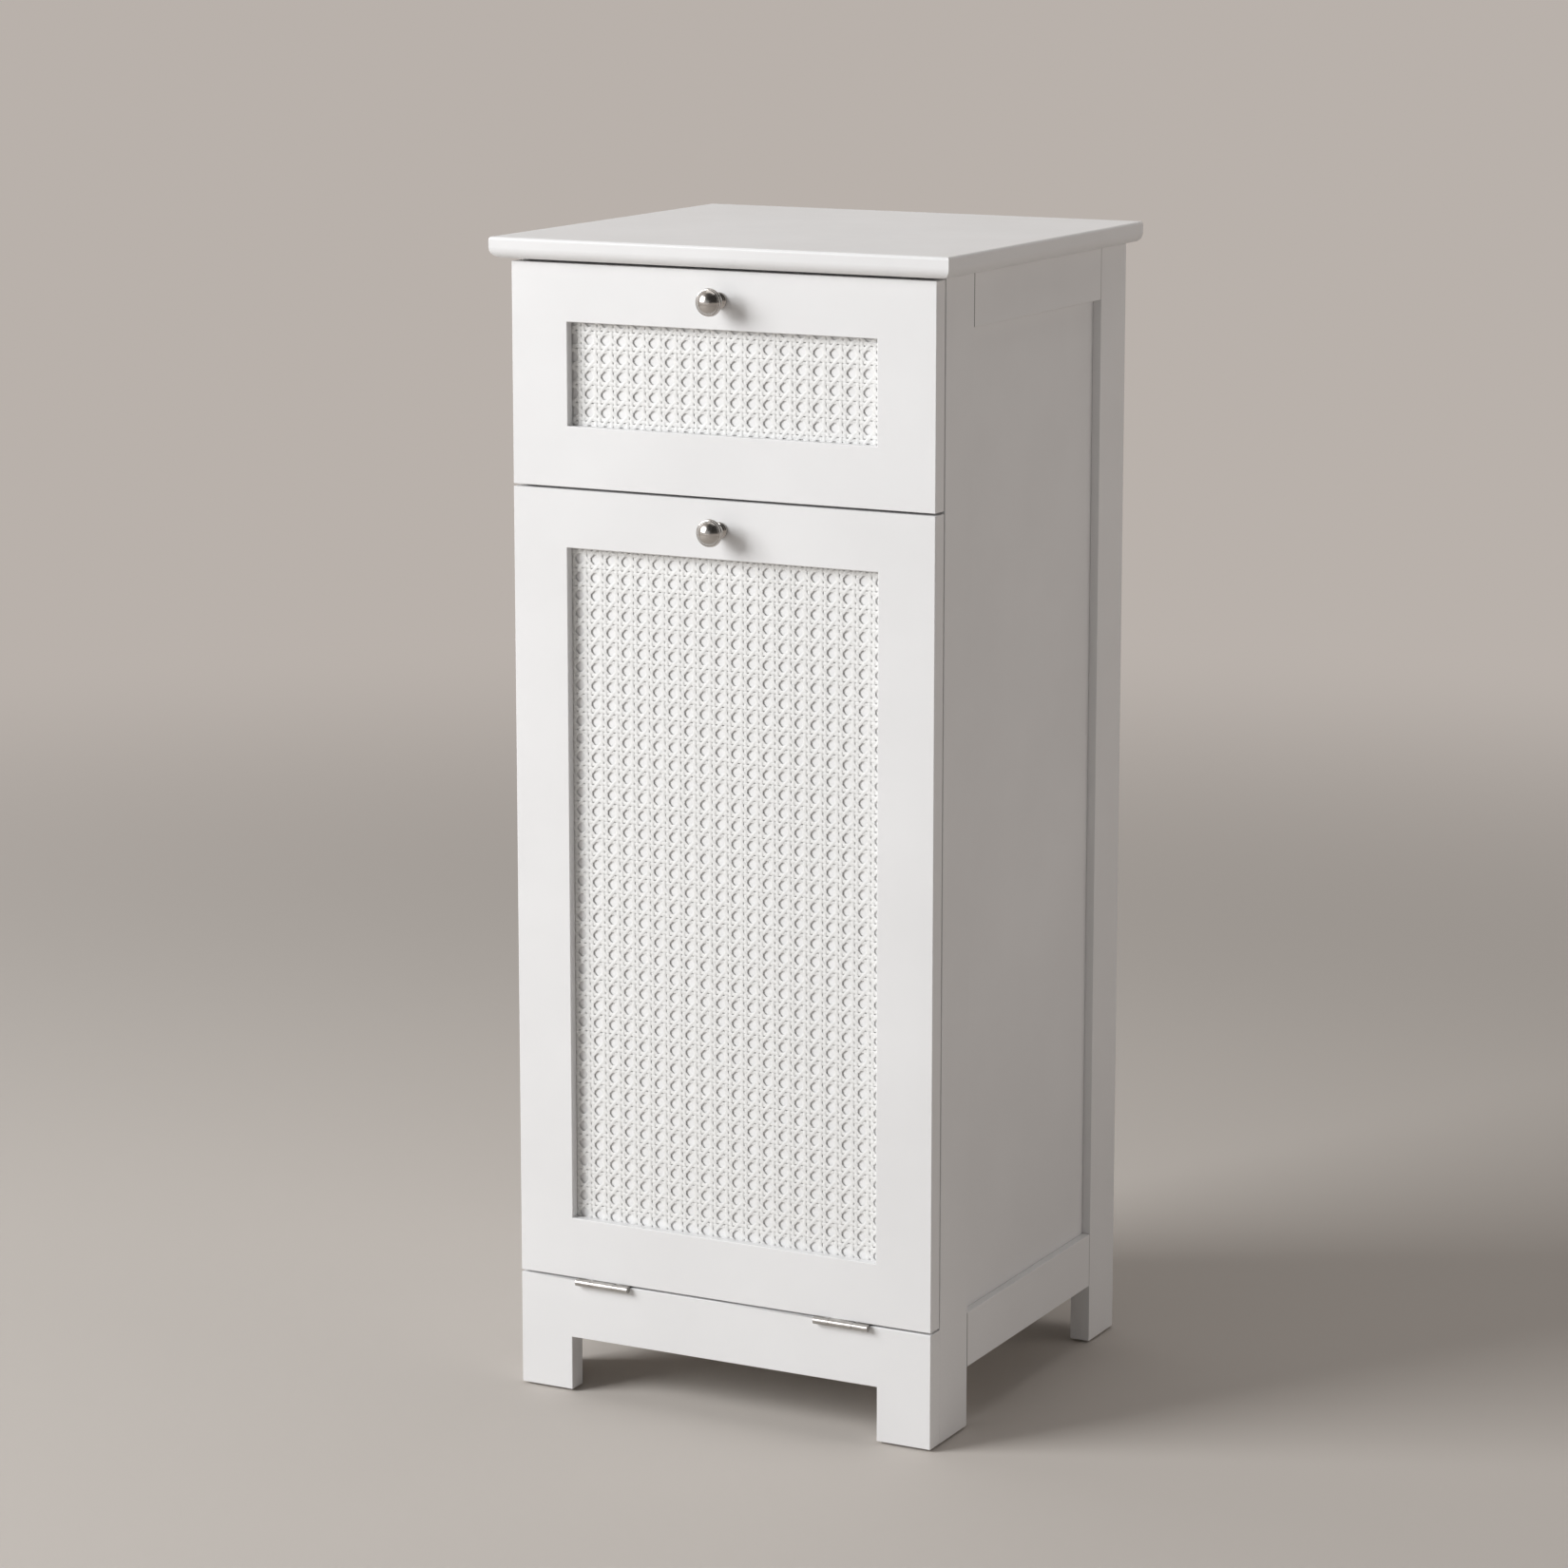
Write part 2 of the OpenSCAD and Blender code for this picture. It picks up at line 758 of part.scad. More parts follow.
// Inner slide member: a smaller channel on the drawer, its edges turned out
module slide_runners() {
    half = runner_h / 2;
    color(nickel) difference() {
        both_sides() along(slide_y, slide_y + slide_l) translate([0, slide_z]) {
            plate([box_x, -half], [box_x + sheet_t, half]);
            for (s = [0, 1]) mirror([0, s]) {
                plate([box_x, half - sheet_t], [runner_tip_x, half]);
                plate([runner_tip_x - sheet_t, half - sheet_t], [runner_tip_x, half + race_lip]);
            }
        }
        at_runner_screws() small_screw_hole(slide_screw_l);
    }
}

module runner_screws() {
    color(steel) at_runner_screws() small_screw(slide_screw_l);
}

// Cages that keep the balls apart, one in each slide
module at_balls() {
    both_sides() for (i = [0 : ball_count - 1], s = [-1, 1])
        translate([ball_x, cage_y + (i + 0.5) * ball_step, slide_z + s * ball_z]) children();
}

module ball_cages() {
    half = ball_z + cage_t / 2;
    flange_x = ball_x - ball_hole_r - cage_t;
    color(steel) difference() {
        both_sides() along(cage_y, cage_y + cage_l) translate([0, slide_z]) {
            plate([cage_web_x, -half], [cage_web_x + cage_t, half]);
            for (s = [0, 1]) mirror([0, s])
                plate([flange_x, half - cage_t], [cage_web_x + cage_t, half]);
        }
        at_balls() cylinder(r = ball_hole_r, h = 2 * cage_t, center = true);
    }
}

module slide_balls() {
    color(nickel) at_balls() sphere(d = ball_d);
}

// Hinges: the axis lies just in front of the door's lower edge
module knuckle(x0, l) {
    translate([x0, axis_y, axis_z]) rotate([0, 90, 0]) cylinder(r = knuckle_r, h = l);
}

module pin_bore() {
    translate([0, axis_y, axis_z]) rotate([0, 90, 0])
        cylinder(r = pin_r + pin_play, h = side_x);
}

module hinge_fixed_leaves() {
    x0 = hinge_x - hinge_l / 2;
    x1 = hinge_x + hinge_l / 2;
    leaf_z0 = apron_top - leaf_t;
    notch_x0 = x0 + outer_knuckle_l;
    color(nickel) both_sides() difference() {
        union() {
            block([x0, axis_y, leaf_z0], [x1, front_y + leaf_d, apron_top]);
            for (x = [x0, x1 - outer_knuckle_l]) knuckle(x, outer_knuckle_l);
        }
        block([notch_x0, axis_y - over, leaf_z0 - over],
              [notch_x0 + inner_knuckle_l + 2 * knuckle_play, front_y, apron_top + over]);
        pin_bore();
        at_fixed_hinge_screws() small_screw_hole(hinge_screw_l);
    }
}

module hinge_moving_leaves() {
    x0 = hinge_x - hinge_l / 2;
    x1 = hinge_x + hinge_l / 2;
    leaf_z0 = door_z0 - leaf_t;
    mid_x0 = x0 + outer_knuckle_l + knuckle_play;
    color(nickel) both_sides() difference() {
        union() {
            block([x0, front_y, leaf_z0], [x1, front_y + leaf_d, door_z0]);
            block([mid_x0, axis_y, leaf_z0], [mid_x0 + inner_knuckle_l, front_y + over, door_z0]);
            knuckle(mid_x0, inner_knuckle_l);
        }
        pin_bore();
        at_moving_hinge_screws() small_screw_hole(hinge_screw_l);
    }
}

module hinge_pins() {
    color(steel) both_sides() translate([hinge_x - hinge_l / 2, axis_y, axis_z])
        rotate([0, 90, 0]) cylinder(r = pin_r, h = hinge_l);
}

module hinge_fixed_screws() {
    color(steel) at_fixed_hinge_screws() small_screw(hinge_screw_l);
}

module hinge_moving_screws() {
    color(steel) at_moving_hinge_screws() small_screw(hinge_screw_l);
}

// Magnetic catch under the divider, and the steel plate it holds on the door
module magnetic_catch() {
    catch_y = front_back_y + strike_t + catch_gap;
    color(plastic) block([catch_x - catch_w / 2, catch_y, divider_z0 - catch_h],
                         [catch_x + catch_w / 2, catch_y + catch_d, divider_z0]);
}

module strike_plate() {
    inset = 2;
    half_w = catch_w / 2 - inset;
    color(nickel) block([catch_x - half_w, front_back_y, divider_z0 - catch_h],
                        [catch_x + half_w, front_back_y + strike_t, divider_z0 - inset]);
}

// Pins in the front uprights, on which the bin's curved slots run
module stop_pins() {
    color(nickel) both_sides()
        translate([bin_x - bin_t, stop_y, stop_z]) rotate([0, 90, 0])
            cylinder(r = stop_pin_r, h = bin_t + bin_side_gap + stop_pin_seat);
}

module foot_glides() {
    color(plastic) at_glides() {
        cylinder(r = glide_r, h = glide_t);
        cylinder(r = glide_nail_r, h = glide_t + glide_nail_l);
    }
}

module frame_dowels() {
    color(bare_wood) dowels(dowel_r, dowel_l);
}

// A front board with a window, stepped behind to take the cane and its backing
module window_board(lo, hi, open_lo, open_hi) {
    step = [rebate_w, rebate_w];
    along(front_y, front_y + lip_t) difference() {
        plate(lo, hi);
        plate(open_lo, open_hi);
    }
    along(front_y + lip_t, front_back_y) difference() {
        plate(lo, hi);
        plate(open_lo - step, open_hi + step);
    }
}

// Cane: a thin sheet with rows of eight-sided holes
module cane_sheet(open_lo, open_hi) {
    bite = rebate_w - rebate_play;
    size = open_hi - open_lo;
    middle = (open_lo + open_hi) / 2;
    columns = floor((size.x - (cane_pitch_x - cane_hole)) / cane_pitch_x);
    rows = floor((size.y - (cane_pitch_z - cane_hole)) / cane_pitch_z);
    y0 = front_y + lip_t;
    along(y0, y0 + cane_t) difference() {
        plate(open_lo - [bite, bite], open_hi + [bite, bite]);
        for (i = [0 : columns - 1], j = [0 : rows - 1])
            translate(middle + [(i - (columns - 1) / 2) * cane_pitch_x,
                                (j - (rows - 1) / 2) * cane_pitch_z])
                rotate(180 / 8) circle(r = cane_hole / 2 / cos(180 / 8), $fn = 8);
    }
}

// Backing board, which lies against the cane and is flush with the front's back
module backing_board(open_lo, open_hi) {
    bite = rebate_w - rebate_play;
    along(front_y + lip_t + cane_t, front_back_y)
        plate(open_lo - [bite, bite], open_hi + [bite, bite]);
}

// Window corners, as [x, z]
drawer_open_lo = [-side_x + drawer_stile_w, drawer_z0 + drawer_bottom_rail_h];
drawer_open_hi = [side_x - drawer_stile_w, drawer_z1 - drawer_top_rail_h];
door_open_lo = [-side_x + door_stile_w, door_z0 + door_bottom_rail_h];
door_open_hi = [side_x - door_stile_w, door_z1 - door_top_rail_h];

// Straight hole for a knob's screw, right through a front
module knob_hole(z) {
    translate([0, front_y - over, z]) rotate([-90, 0, 0])
        cylinder(r = knob_screw_r + seat_play, h = front_t + 2 * over);
}

// Knob: a turned foot, neck, bead and rim under a low dome
module knob(z) {
    foot_h = 1.6;
    foot_top_h = 2.6;
    foot_round = 0.8;
    neck_out = 3.2;
    bead_out = 9.5;
    bead_h = 1.5;
    rim_h = 2;
    rim_round = 0.5;
    rim_front = knob_reach - knob_dome_h;
    rim_back = rim_front - rim_h;
    flare_steps = 8;
    flare_out = bead_out + bead_h;
    flare_neck_r = knob_neck_r + rim_round;
    flare_rim_r = knob_rim_r - 2 * rim_round;
    dome_ball_r = (pow(knob_dome_r, 2) + pow(knob_dome_h, 2)) / (2 * knob_dome_h);
    dome_end = asin(knob_dome_r / dome_ball_r);
    dome_steps = 12;
    profile = concat(
        [[0, 0], [knob_foot_r, 0], [knob_foot_r, foot_h], [knob_foot_r - foot_round, foot_top_h],
         [knob_neck_r, neck_out], [knob_neck_r, bead_out - bead_h]],
        [for (a = [-60 : 30 : 60]) [knob_bead_r - bead_h + bead_h * cos(a), bead_out + bead_h * sin(a)]],
        [for (i = [0 : flare_steps]) let (a = 90 * i / flare_steps)
            [flare_neck_r + (flare_rim_r - flare_neck_r) * (1 - cos(a)),
             flare_out + (rim_back - flare_out) * sin(a)]],
        [[knob_rim_r, rim_back + rim_round],
         [knob_rim_r, rim_front - rim_round], [knob_rim_r - rim_round, rim_front]],
        [for (i = [0 : dome_steps]) let (a = dome_end * (1 - i / dome_steps))
            [dome_ball_r * sin(a), knob_reach - dome_ball_r + dome_ball_r * cos(a)]]
    );
    color(nickel) translate([0, front_y, z]) rotate([90, 0, 0]) difference() {
        rotate_extrude() polygon(profile);
        translate([0, 0, -over])
            cylinder(r = knob_screw_r + seat_play, h = over + knob_thread_l + seat_play);
    }
}

// Round-headed screw that holds a knob from behind
module knob_screw(z) {
    color(steel) translate([0, front_back_y, z]) {
        rotate([90, 0, 0]) cylinder(r = knob_screw_r, h = front_t + knob_thread_l);
        rotate([-90, 0, 0]) cylinder(r = knob_screw_head_r, h = knob_screw_head_h);
    }
}

// Bumpers on the back of a front, near its upper corners
module bumpers(z) {
    color(plastic) both_sides() translate([frame_mid_x, front_back_y, z])
        rotate([-90, 0, 0]) cylinder(r = bumper_r, h = front_gap - bumper_gap);
}

// Drawer front, its cane and its backing
module drawer_front() {
    color(paint) difference() {
        window_board([-side_x, drawer_z0], [side_x, drawer_z1], drawer_open_lo, drawer_open_hi);
        knob_hole(drawer_knob_z);
        at_front_screws() big_screw_hole(front_screw_l);
    }
}

module drawer_cane() {
    color(cane_white) cane_sheet(drawer_open_lo, drawer_open_hi);
}

module drawer_backing() {
    color(cane_white) backing_board(drawer_open_lo, drawer_open_hi);
}

// Space of the drawer's bottom board and the play round it
module box_groove() {
    block([-box_x + box_t - box_groove_d, front_back_y + box_t - box_groove_d,
           box_bottom_z - groove_play],
          [box_x - box_t + box_groove_d, box_back_y - box_t + box_groove_d,
           box_bottom_z + box_bottom_t + groove_play]);
}

module box_side() {
    color(board_white) difference() {
        block([box_x - box_t, front_back_y, box_z0], [box_x, box_back_y, box_z1]);
        box_groove();
        at_runner_screws() small_screw_hole(slide_screw_l);
    }
}

module drawer_right_side() {
    box_side();
}

module drawer_left_side() {
    mirror([1, 0, 0]) box_side();
}

module box_end(y0) {
    block([-box_x + box_t, y0, box_z0], [box_x - box_t, y0 + box_t, box_z1]);
}

module drawer_box_front() {
    color(board_white) difference() {
        box_end(front_back_y);
        box_groove();
        at_front_screws() big_screw_hole(front_screw_l);
    }
}

module drawer_box_back() {
    color(board_white) difference() {
        box_end(box_back_y - box_t);
        box_groove();
    }
}

module drawer_bottom() {
    bite = box_groove_d - groove_play;
    color(board_white)
        block([-box_x + box_t - bite, front_back_y + box_t - bite, box_bottom_z],
              [box_x - box_t + bite, box_back_y - box_t + bite, box_bottom_z + box_bottom_t]);
}

module drawer_front_screws() {
    color(steel) at_front_screws() big_screw(front_screw_l);
}

module drawer_bumpers() {
    bumpers(drawer_z1 - 2 * bumper_r);
}

module drawer_knob() {
    knob(drawer_knob_z);
}

module drawer_knob_screw() {
    knob_screw(drawer_knob_z);
}

// Door, its cane and its backing
module door_frame() {
    color(paint) difference() {
        window_board([-side_x, door_z0], [side_x, door_z1], door_open_lo, door_open_hi);
        knob_hole(door_knob_z);
        at_moving_hinge_screws() small_screw_hole(hinge_screw_l);
        at_bracket_screws() small_screw_hole(bracket_screw_l);
    }
}

module door_cane() {
    color(cane_white) cane_sheet(door_open_lo, door_open_hi);
}

module door_backing() {
    color(cane_white) backing_board(door_open_lo, door_open_hi);
}

// Curved slot round the hinge axis, from the pin's place down by the tilt. Its round
// ends are a hair narrower than its run, so that their edges don't meet in a tangent.
module stop_slot() {
    w = stop_pin_r + stop_play;
    end_r = w - stop_play / 10;
    low = stop_angle - tilt;
    far = 2 * stop_r;
    intersection() {
        difference() {
            circle(stop_r + w, $fn = big_fn);
            circle(stop_r - w, $fn = big_fn);
        }
        polygon([[0, 0], far * [cos(low), sin(low)], far * [cos(stop_angle), sin(stop_angle)]]);
    }
    for (a = [low, stop_angle]) translate(stop_r * [cos(a), sin(a)]) circle(end_r);
}

// Bin side: its top follows an arc round the hinge, so it clears the divider
module bin_side() {
    color(board_white) difference() {
        across(bin_x - bin_t, bin_x) difference() {
            intersection() {
                plate([front_back_y, bin_z0], [bin_back_y, door_z1]);
                translate([axis_y, axis_z]) circle(bin_sweep_r, $fn = big_fn);
            }
            translate([axis_y, axis_z]) stop_slot();
        }
        at_bracket_screws() small_screw_hole(bracket_screw_l);
    }
}

module bin_right_side() {
    bin_side();
}

module bin_left_side() {
    mirror([1, 0, 0]) bin_side();
}

module bin_floor() {
    color(board_white) block([-bin_x + bin_t, front_back_y, bin_z0],
                             [bin_x - bin_t, bin_back_y - bin_t, bin_z0 + bin_t]);
}

module bin_back() {
    color(board_white) block([-bin_x + bin_t, bin_back_y - bin_t, bin_z0],
                             [bin_x - bin_t, bin_back_y, bin_back_z1]);
}

// Angle brackets in the corners between the bin's sides and the door
module bin_brackets() {
    color(steel) {
        difference() {
            at_brackets() for (size = [[bracket_leg, bracket_t], [bracket_t, bracket_leg]])
                translate([-size.x, 0, -bracket_w / 2]) cube([size.x, size.y, bracket_w]);
            at_bracket_screws() small_screw_hole(bracket_screw_l);
        }
        at_bracket_screws() small_screw(bracket_screw_l);
    }
}

module door_bumpers() {
    bumpers(door_z1 - 2 * bumper_r);
}

module door_knob() {
    knob(door_knob_z);
}

module door_knob_screw() {
    knob_screw(door_knob_z);
}

top_panel();
left_front_stile();
right_front_stile();
left_rear_stile();
right_rear_stile();
left_top_rail();
right_top_rail();
left_bottom_rail();
right_bottom_rail();
left_side_panel();
right_side_panel();
apron();
floor_panel();
divider_panel();
back_panel();
rear_top_rail();
rear_bottom_rail();
front_stretcher();
slide_battens();
panel_cleats();
slide_channels();
slide_screws();
hinge_fixed_leaves();
hinge_pins();
hinge_fixed_screws();
magnetic_catch();
stop_pins();
foot_glides();
frame_dowels();
top_screws();
drawer_front();
drawer_cane();
drawer_backing();
drawer_left_side();
drawer_right_side();
drawer_box_front();
drawer_box_back();
drawer_bottom();
slide_runners();
runner_screws();
drawer_front_screws();
drawer_bumpers();
drawer_knob();
drawer_knob_screw();
ball_cages();
slide_balls();
door_frame();
door_cane();
door_backing();
bin_left_side();
bin_right_side();
bin_floor();
bin_back();
bin_brackets();
door_knob();
door_knob_screw();
hinge_moving_leaves();
hinge_moving_screws();
strike_plate();
door_bumpers();
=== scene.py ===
import bpy
import math
import random
from mathutils import Matrix, Vector


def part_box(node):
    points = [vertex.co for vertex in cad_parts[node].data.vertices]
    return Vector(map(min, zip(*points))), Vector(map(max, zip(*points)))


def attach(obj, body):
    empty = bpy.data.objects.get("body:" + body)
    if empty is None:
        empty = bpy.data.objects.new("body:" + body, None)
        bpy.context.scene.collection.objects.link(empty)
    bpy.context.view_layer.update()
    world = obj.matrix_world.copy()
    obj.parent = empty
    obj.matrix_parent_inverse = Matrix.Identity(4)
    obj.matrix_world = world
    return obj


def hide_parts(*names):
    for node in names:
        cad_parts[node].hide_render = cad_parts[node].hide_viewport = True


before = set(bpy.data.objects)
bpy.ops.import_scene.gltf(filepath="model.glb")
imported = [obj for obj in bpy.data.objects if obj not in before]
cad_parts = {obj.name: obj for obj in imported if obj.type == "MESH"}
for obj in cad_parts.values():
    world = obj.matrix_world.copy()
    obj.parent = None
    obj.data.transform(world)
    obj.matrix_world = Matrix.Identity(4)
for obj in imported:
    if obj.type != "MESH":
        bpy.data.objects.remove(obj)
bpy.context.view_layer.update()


# Side frames. Each has two upright boards that run down as legs, with a rail between them
# at the top and at the bottom. They are 18 mm boards, glued up on dowels and sprayed with
# satin white paint. Their joints show as hairlines between the eased edges.
PAINT_DARK = (0.790, 0.788, 0.790)
PAINT_LIGHT = (0.822, 0.821, 0.824)
JOINT_LINE = 0.0013
JOINT_SHADE = (0.20, 0.19, 0.18, 1)
BOARD_EASE = 0.0007
EASE_STEPS = 3
SQUARE_DEGREES = 40
SHORTEST_EDGE = 0.004
WELD_GAP = 0.00001
FLAT_DEGREES = 0.5


def finish(name, metallic, roughness):
    """Starts a surface finish and gives its node tree and its shader."""
    surface = bpy.data.materials.new(name)
    surface.use_nodes = True
    shader = surface.node_tree.nodes["Principled BSDF"]
    shader.inputs["Metallic"].default_value = metallic
    shader.inputs["Roughness"].default_value = roughness
    return surface, surface.node_tree, shader


def working_node(tree, kind, operation):
    """Adds a node that works something out in the given way."""
    node = tree.nodes.new(kind)
    node.operation = operation
    return node


def wire(tree, *pairs):
    """Connects sockets, each pair from the one that gives to the one that takes."""
    for giver, taker in pairs:
        tree.links.new(giver, taker)


def fit_range(tree, value, start, end, low=0, high=1, smooth=False):
    """Maps a value that runs from start to end onto low to high, and holds it at both ends."""
    spread = tree.nodes.new("ShaderNodeMapRange")
    if smooth:
        spread.interpolation_type = "SMOOTHSTEP"
    spread.inputs["From Min"].default_value = start
    spread.inputs["From Max"].default_value = end
    spread.inputs["To Min"].default_value = low
    spread.inputs["To Max"].default_value = high
    tree.links.new(value, spread.inputs["Value"])
    return spread.outputs["Result"]


def mottle(tree, size, stretch=(1, 1, 1), detail=3):
    """Cloudy pattern whose blotches are size metres across, drawn out along an axis by stretch."""
    place = tree.nodes.new("ShaderNodeTexCoord")
    spread = tree.nodes.new("ShaderNodeMapping")
    spread.inputs["Scale"].default_value = [1 / (size * share) for share in stretch]
    cloud = tree.nodes.new("ShaderNodeTexNoise")
    cloud.inputs["Scale"].default_value = 1
    cloud.inputs["Detail"].default_value = detail
    wire(tree, (place.outputs["Object"], spread.inputs["Vector"]),
         (spread.outputs["Vector"], cloud.inputs["Vector"]))
    return cloud.outputs["Fac"]


def tint(tree, shader, pattern, dark, light, low=0.35, high=0.65):
    """Lets the colour drift between two shades with a pattern."""
    ramp = tree.nodes.new("ShaderNodeValToRGB")
    ramp.color_ramp.elements[0].position = low
    ramp.color_ramp.elements[0].color = (*dark, 1)
    ramp.color_ramp.elements[1].position = high
    ramp.color_ramp.elements[1].color = (*light, 1)
    wire(tree, (pattern, ramp.inputs["Fac"]), (ramp.outputs["Color"], shader.inputs["Base Color"]))


def sheen_patches(tree, shader, pattern, low, high):
    """Lets the roughness drift between two values with a pattern."""
    patches = fit_range(tree, pattern, start=0.3, end=0.7, low=low, high=high)
    wire(tree, (patches, shader.inputs["Roughness"]))


def relief(tree, shader, pattern, height):
    """Raises a pattern by a height in metres, on top of any relief that is there already."""
    bump = tree.nodes.new("ShaderNodeBump")
    bump.inputs["Strength"].default_value = 1
    bump.inputs["Distance"].default_value = height
    wire(tree, (pattern, bump.inputs["Height"]))
    under = shader.inputs["Normal"].links
    if under:
        wire(tree, (under[0].from_socket, bump.inputs["Normal"]))
    wire(tree, (bump.outputs["Normal"], shader.inputs["Normal"]))


def satin_paint(name):
    """Sprayed paint: slow drifts of tone, a fine dimple, and long soft waves along a board."""
    surface, tree, shader = finish(name, metallic=0, roughness=0.4)
    tint(tree, shader, mottle(tree, size=0.16), dark=PAINT_DARK, light=PAINT_LIGHT)
    sheen_patches(tree, shader, mottle(tree, size=0.03), low=0.36, high=0.46)
    relief(tree, shader, mottle(tree, size=0.0011, detail=1), height=0.000012)
    relief(tree, shader, mottle(tree, size=0.02, stretch=(1, 1, 6)), height=0.00002)
    return surface


def shade_joints(surface, rail):
    """Paints shade into the last millimetre at both ends of a rail, where the open joint holds shade."""
    tree = surface.node_tree
    base = tree.nodes["Principled BSDF"].inputs["Base Color"]
    low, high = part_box(rail)
    half_length = (high.y - low.y) / 2
    place = tree.nodes.new("ShaderNodeTexCoord")
    depth = tree.nodes.new("ShaderNodeSeparateXYZ")
    from_middle = working_node(tree, "ShaderNodeMath", "SUBTRACT")
    from_middle.inputs[1].default_value = (low.y + high.y) / 2
    either_way = working_node(tree, "ShaderNodeMath", "ABSOLUTE")
    near_end = fit_range(tree, either_way.outputs["Value"],
                         start=half_length - JOINT_LINE, end=half_length - JOINT_LINE / 2)
    blend = tree.nodes.new("ShaderNodeMix")
    blend.data_type = "RGBA"
    blend.inputs["B"].default_value = JOINT_SHADE
    wire(
        tree,
        (place.outputs["Object"], depth.inputs["Vector"]),
        (depth.outputs["Y"], from_middle.inputs[0]),
        (from_middle.outputs["Value"], either_way.inputs[0]),
        (near_end, blend.inputs["Factor"]),
        (base.links[0].from_socket, blend.inputs["A"]),
        (blend.outputs["Result"], base),
    )


def board_edge_finder():
    """Marks the long square edges of a board for rounding and shades the rest smooth."""
    tree = bpy.data.node_groups.new("board_edges", "GeometryNodeTree")
    tree.interface.new_socket("Board", in_out="INPUT", socket_type="NodeSocketGeometry")
    tree.interface.new_socket("Board", in_out="OUTPUT", socket_type="NodeSocketGeometry")
    board_in = tree.nodes.new("NodeGroupInput")
    board_out = tree.nodes.new("NodeGroupOutput")
    angle = tree.nodes.new("GeometryNodeInputMeshEdgeAngle")
    square = working_node(tree, "FunctionNodeCompare", "GREATER_THAN")
    square.inputs["B"].default_value = math.radians(SQUARE_DEGREES)
    ends = tree.nodes.new("GeometryNodeInputMeshEdgeVertices")
    span = working_node(tree, "ShaderNodeVectorMath", "DISTANCE")
    long = working_node(tree, "FunctionNodeCompare", "GREATER_THAN")
    long.inputs["B"].default_value = SHORTEST_EDGE
    both = working_node(tree, "FunctionNodeBooleanMath", "AND")
    mark = tree.nodes.new("GeometryNodeStoreNamedAttribute")
    mark.data_type = "FLOAT"
    mark.domain = "EDGE"
    mark.inputs["Name"].default_value = "bevel_weight_edge"
    smooth = tree.nodes.new("GeometryNodeSetShadeSmooth")
    smooth.domain = "FACE"
    crisp = tree.nodes.new("GeometryNodeSetShadeSmooth")
    crisp.domain = "EDGE"
    crisp.inputs["Shade Smooth"].default_value = False
    wire(
        tree,
        (angle.outputs["Unsigned Angle"], square.inputs["A"]),
        (ends.outputs["Position 1"], span.inputs[0]),
        (ends.outputs["Position 2"], span.inputs[1]),
        (span.outputs["Value"], long.inputs["A"]),
        (square.outputs["Result"], both.inputs[0]),
        (long.outputs["Result"], both.inputs[1]),
        (board_in.outputs[0], mark.inputs["Geometry"]),
        (both.outputs[0], mark.inputs["Value"]),
        (mark.outputs["Geometry"], smooth.inputs["Geometry"]),
        (smooth.outputs["Geometry"], crisp.inputs["Geometry"]),
        (square.outputs["Result"], crisp.inputs["Selection"]),
        (crisp.outputs["Geometry"], board_out.inputs[0]),
    )
    return tree


def ease(node, radius):
    """Rounds a board's long edges over, as sandpaper and a coat of paint leave them."""
    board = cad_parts[node]
    weld = board.modifiers.new("join_faces", "WELD")
    weld.merge_threshold = WELD_GAP
    plane = board.modifiers.new("plane_flat", "DECIMATE")
    plane.decimate_type = "DISSOLVE"
    plane.angle_limit = math.radians(FLAT_DEGREES)
    find = board.modifiers.new("find_edges", "NODES")
    find.node_group = board_edges
    sand = board.modifiers.new("ease_edges", "BEVEL")
    sand.limit_method = "WEIGHT"
    sand.width = radius
    sand.segments = EASE_STEPS
    sand.use_clamp_overlap = False
    sand.harden_normals = True


def coat(node, surface):
    """Gives a piece one finish all over."""
    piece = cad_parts[node]
    piece.data.materials.clear()
    piece.data.materials.append(surface)


paint = satin_paint("satin_white_paint")
rail_paint = satin_paint("satin_white_paint_on_rails")
# Painted shade darkens both ends of each rail in the rails' paint.
shade_joints(rail_paint, "right_top_rail")
board_edges = board_edge_finder()
for side in ("left", "right"):
    for board, surface in (("front_stile", paint), ("rear_stile", paint),
                           ("top_rail", rail_paint), ("bottom_rail", rail_paint)):
        ease(f"{side}_{board}", BOARD_EASE)
        coat(f"{side}_{board}", surface)


# Side panels. A thin board stands in the grooves of each side frame, 7.5 mm behind its
# face. It is slid in before the frame is closed, and has the same paint.
for side in ("left", "right"):
    coat(f"{side}_side_panel", paint)


# Dowels. Turned beech pegs in drilled holes, glued half into the ends of the rails and half
# into the upright boards, at the sides and at the back.
BEECH_DARK = (0.42, 0.27, 0.15)
BEECH_LIGHT = (0.58, 0.41, 0.25)


def bare_wood(name, dark, light, stretch):
    """Unpainted wood, whose grain is drawn out along the board by stretch."""
    surface, tree, shader = finish(name, metallic=0, roughness=0.62)
    grain = mottle(tree, size=0.0022, stretch=stretch, detail=6)
    tint(tree, shader, grain, dark=dark, light=light, low=0.38, high=0.6)
    sheen_patches(tree, shader, grain, low=0.55, high=0.72)
    relief(tree, shader, grain, height=0.00004)
    return surface


coat("frame_dowels", bare_wood("beech_dowel", BEECH_DARK, BEECH_LIGHT, stretch=(4, 14, 1)))


# Apron. One painted board across the front, sawn out underneath so that its ends stand as
# the front legs. It is glued to the front edges of the upright boards.
ease("apron", BOARD_EASE)
coat("apron", paint)


# Foot glides. A round pad of grey polyethylene under each upright board, moulded round a
# nail that is tapped into the end of the board.
GLIDE_DARK = (0.30, 0.29, 0.28)
GLIDE_LIGHT = (0.38, 0.37, 0.35)


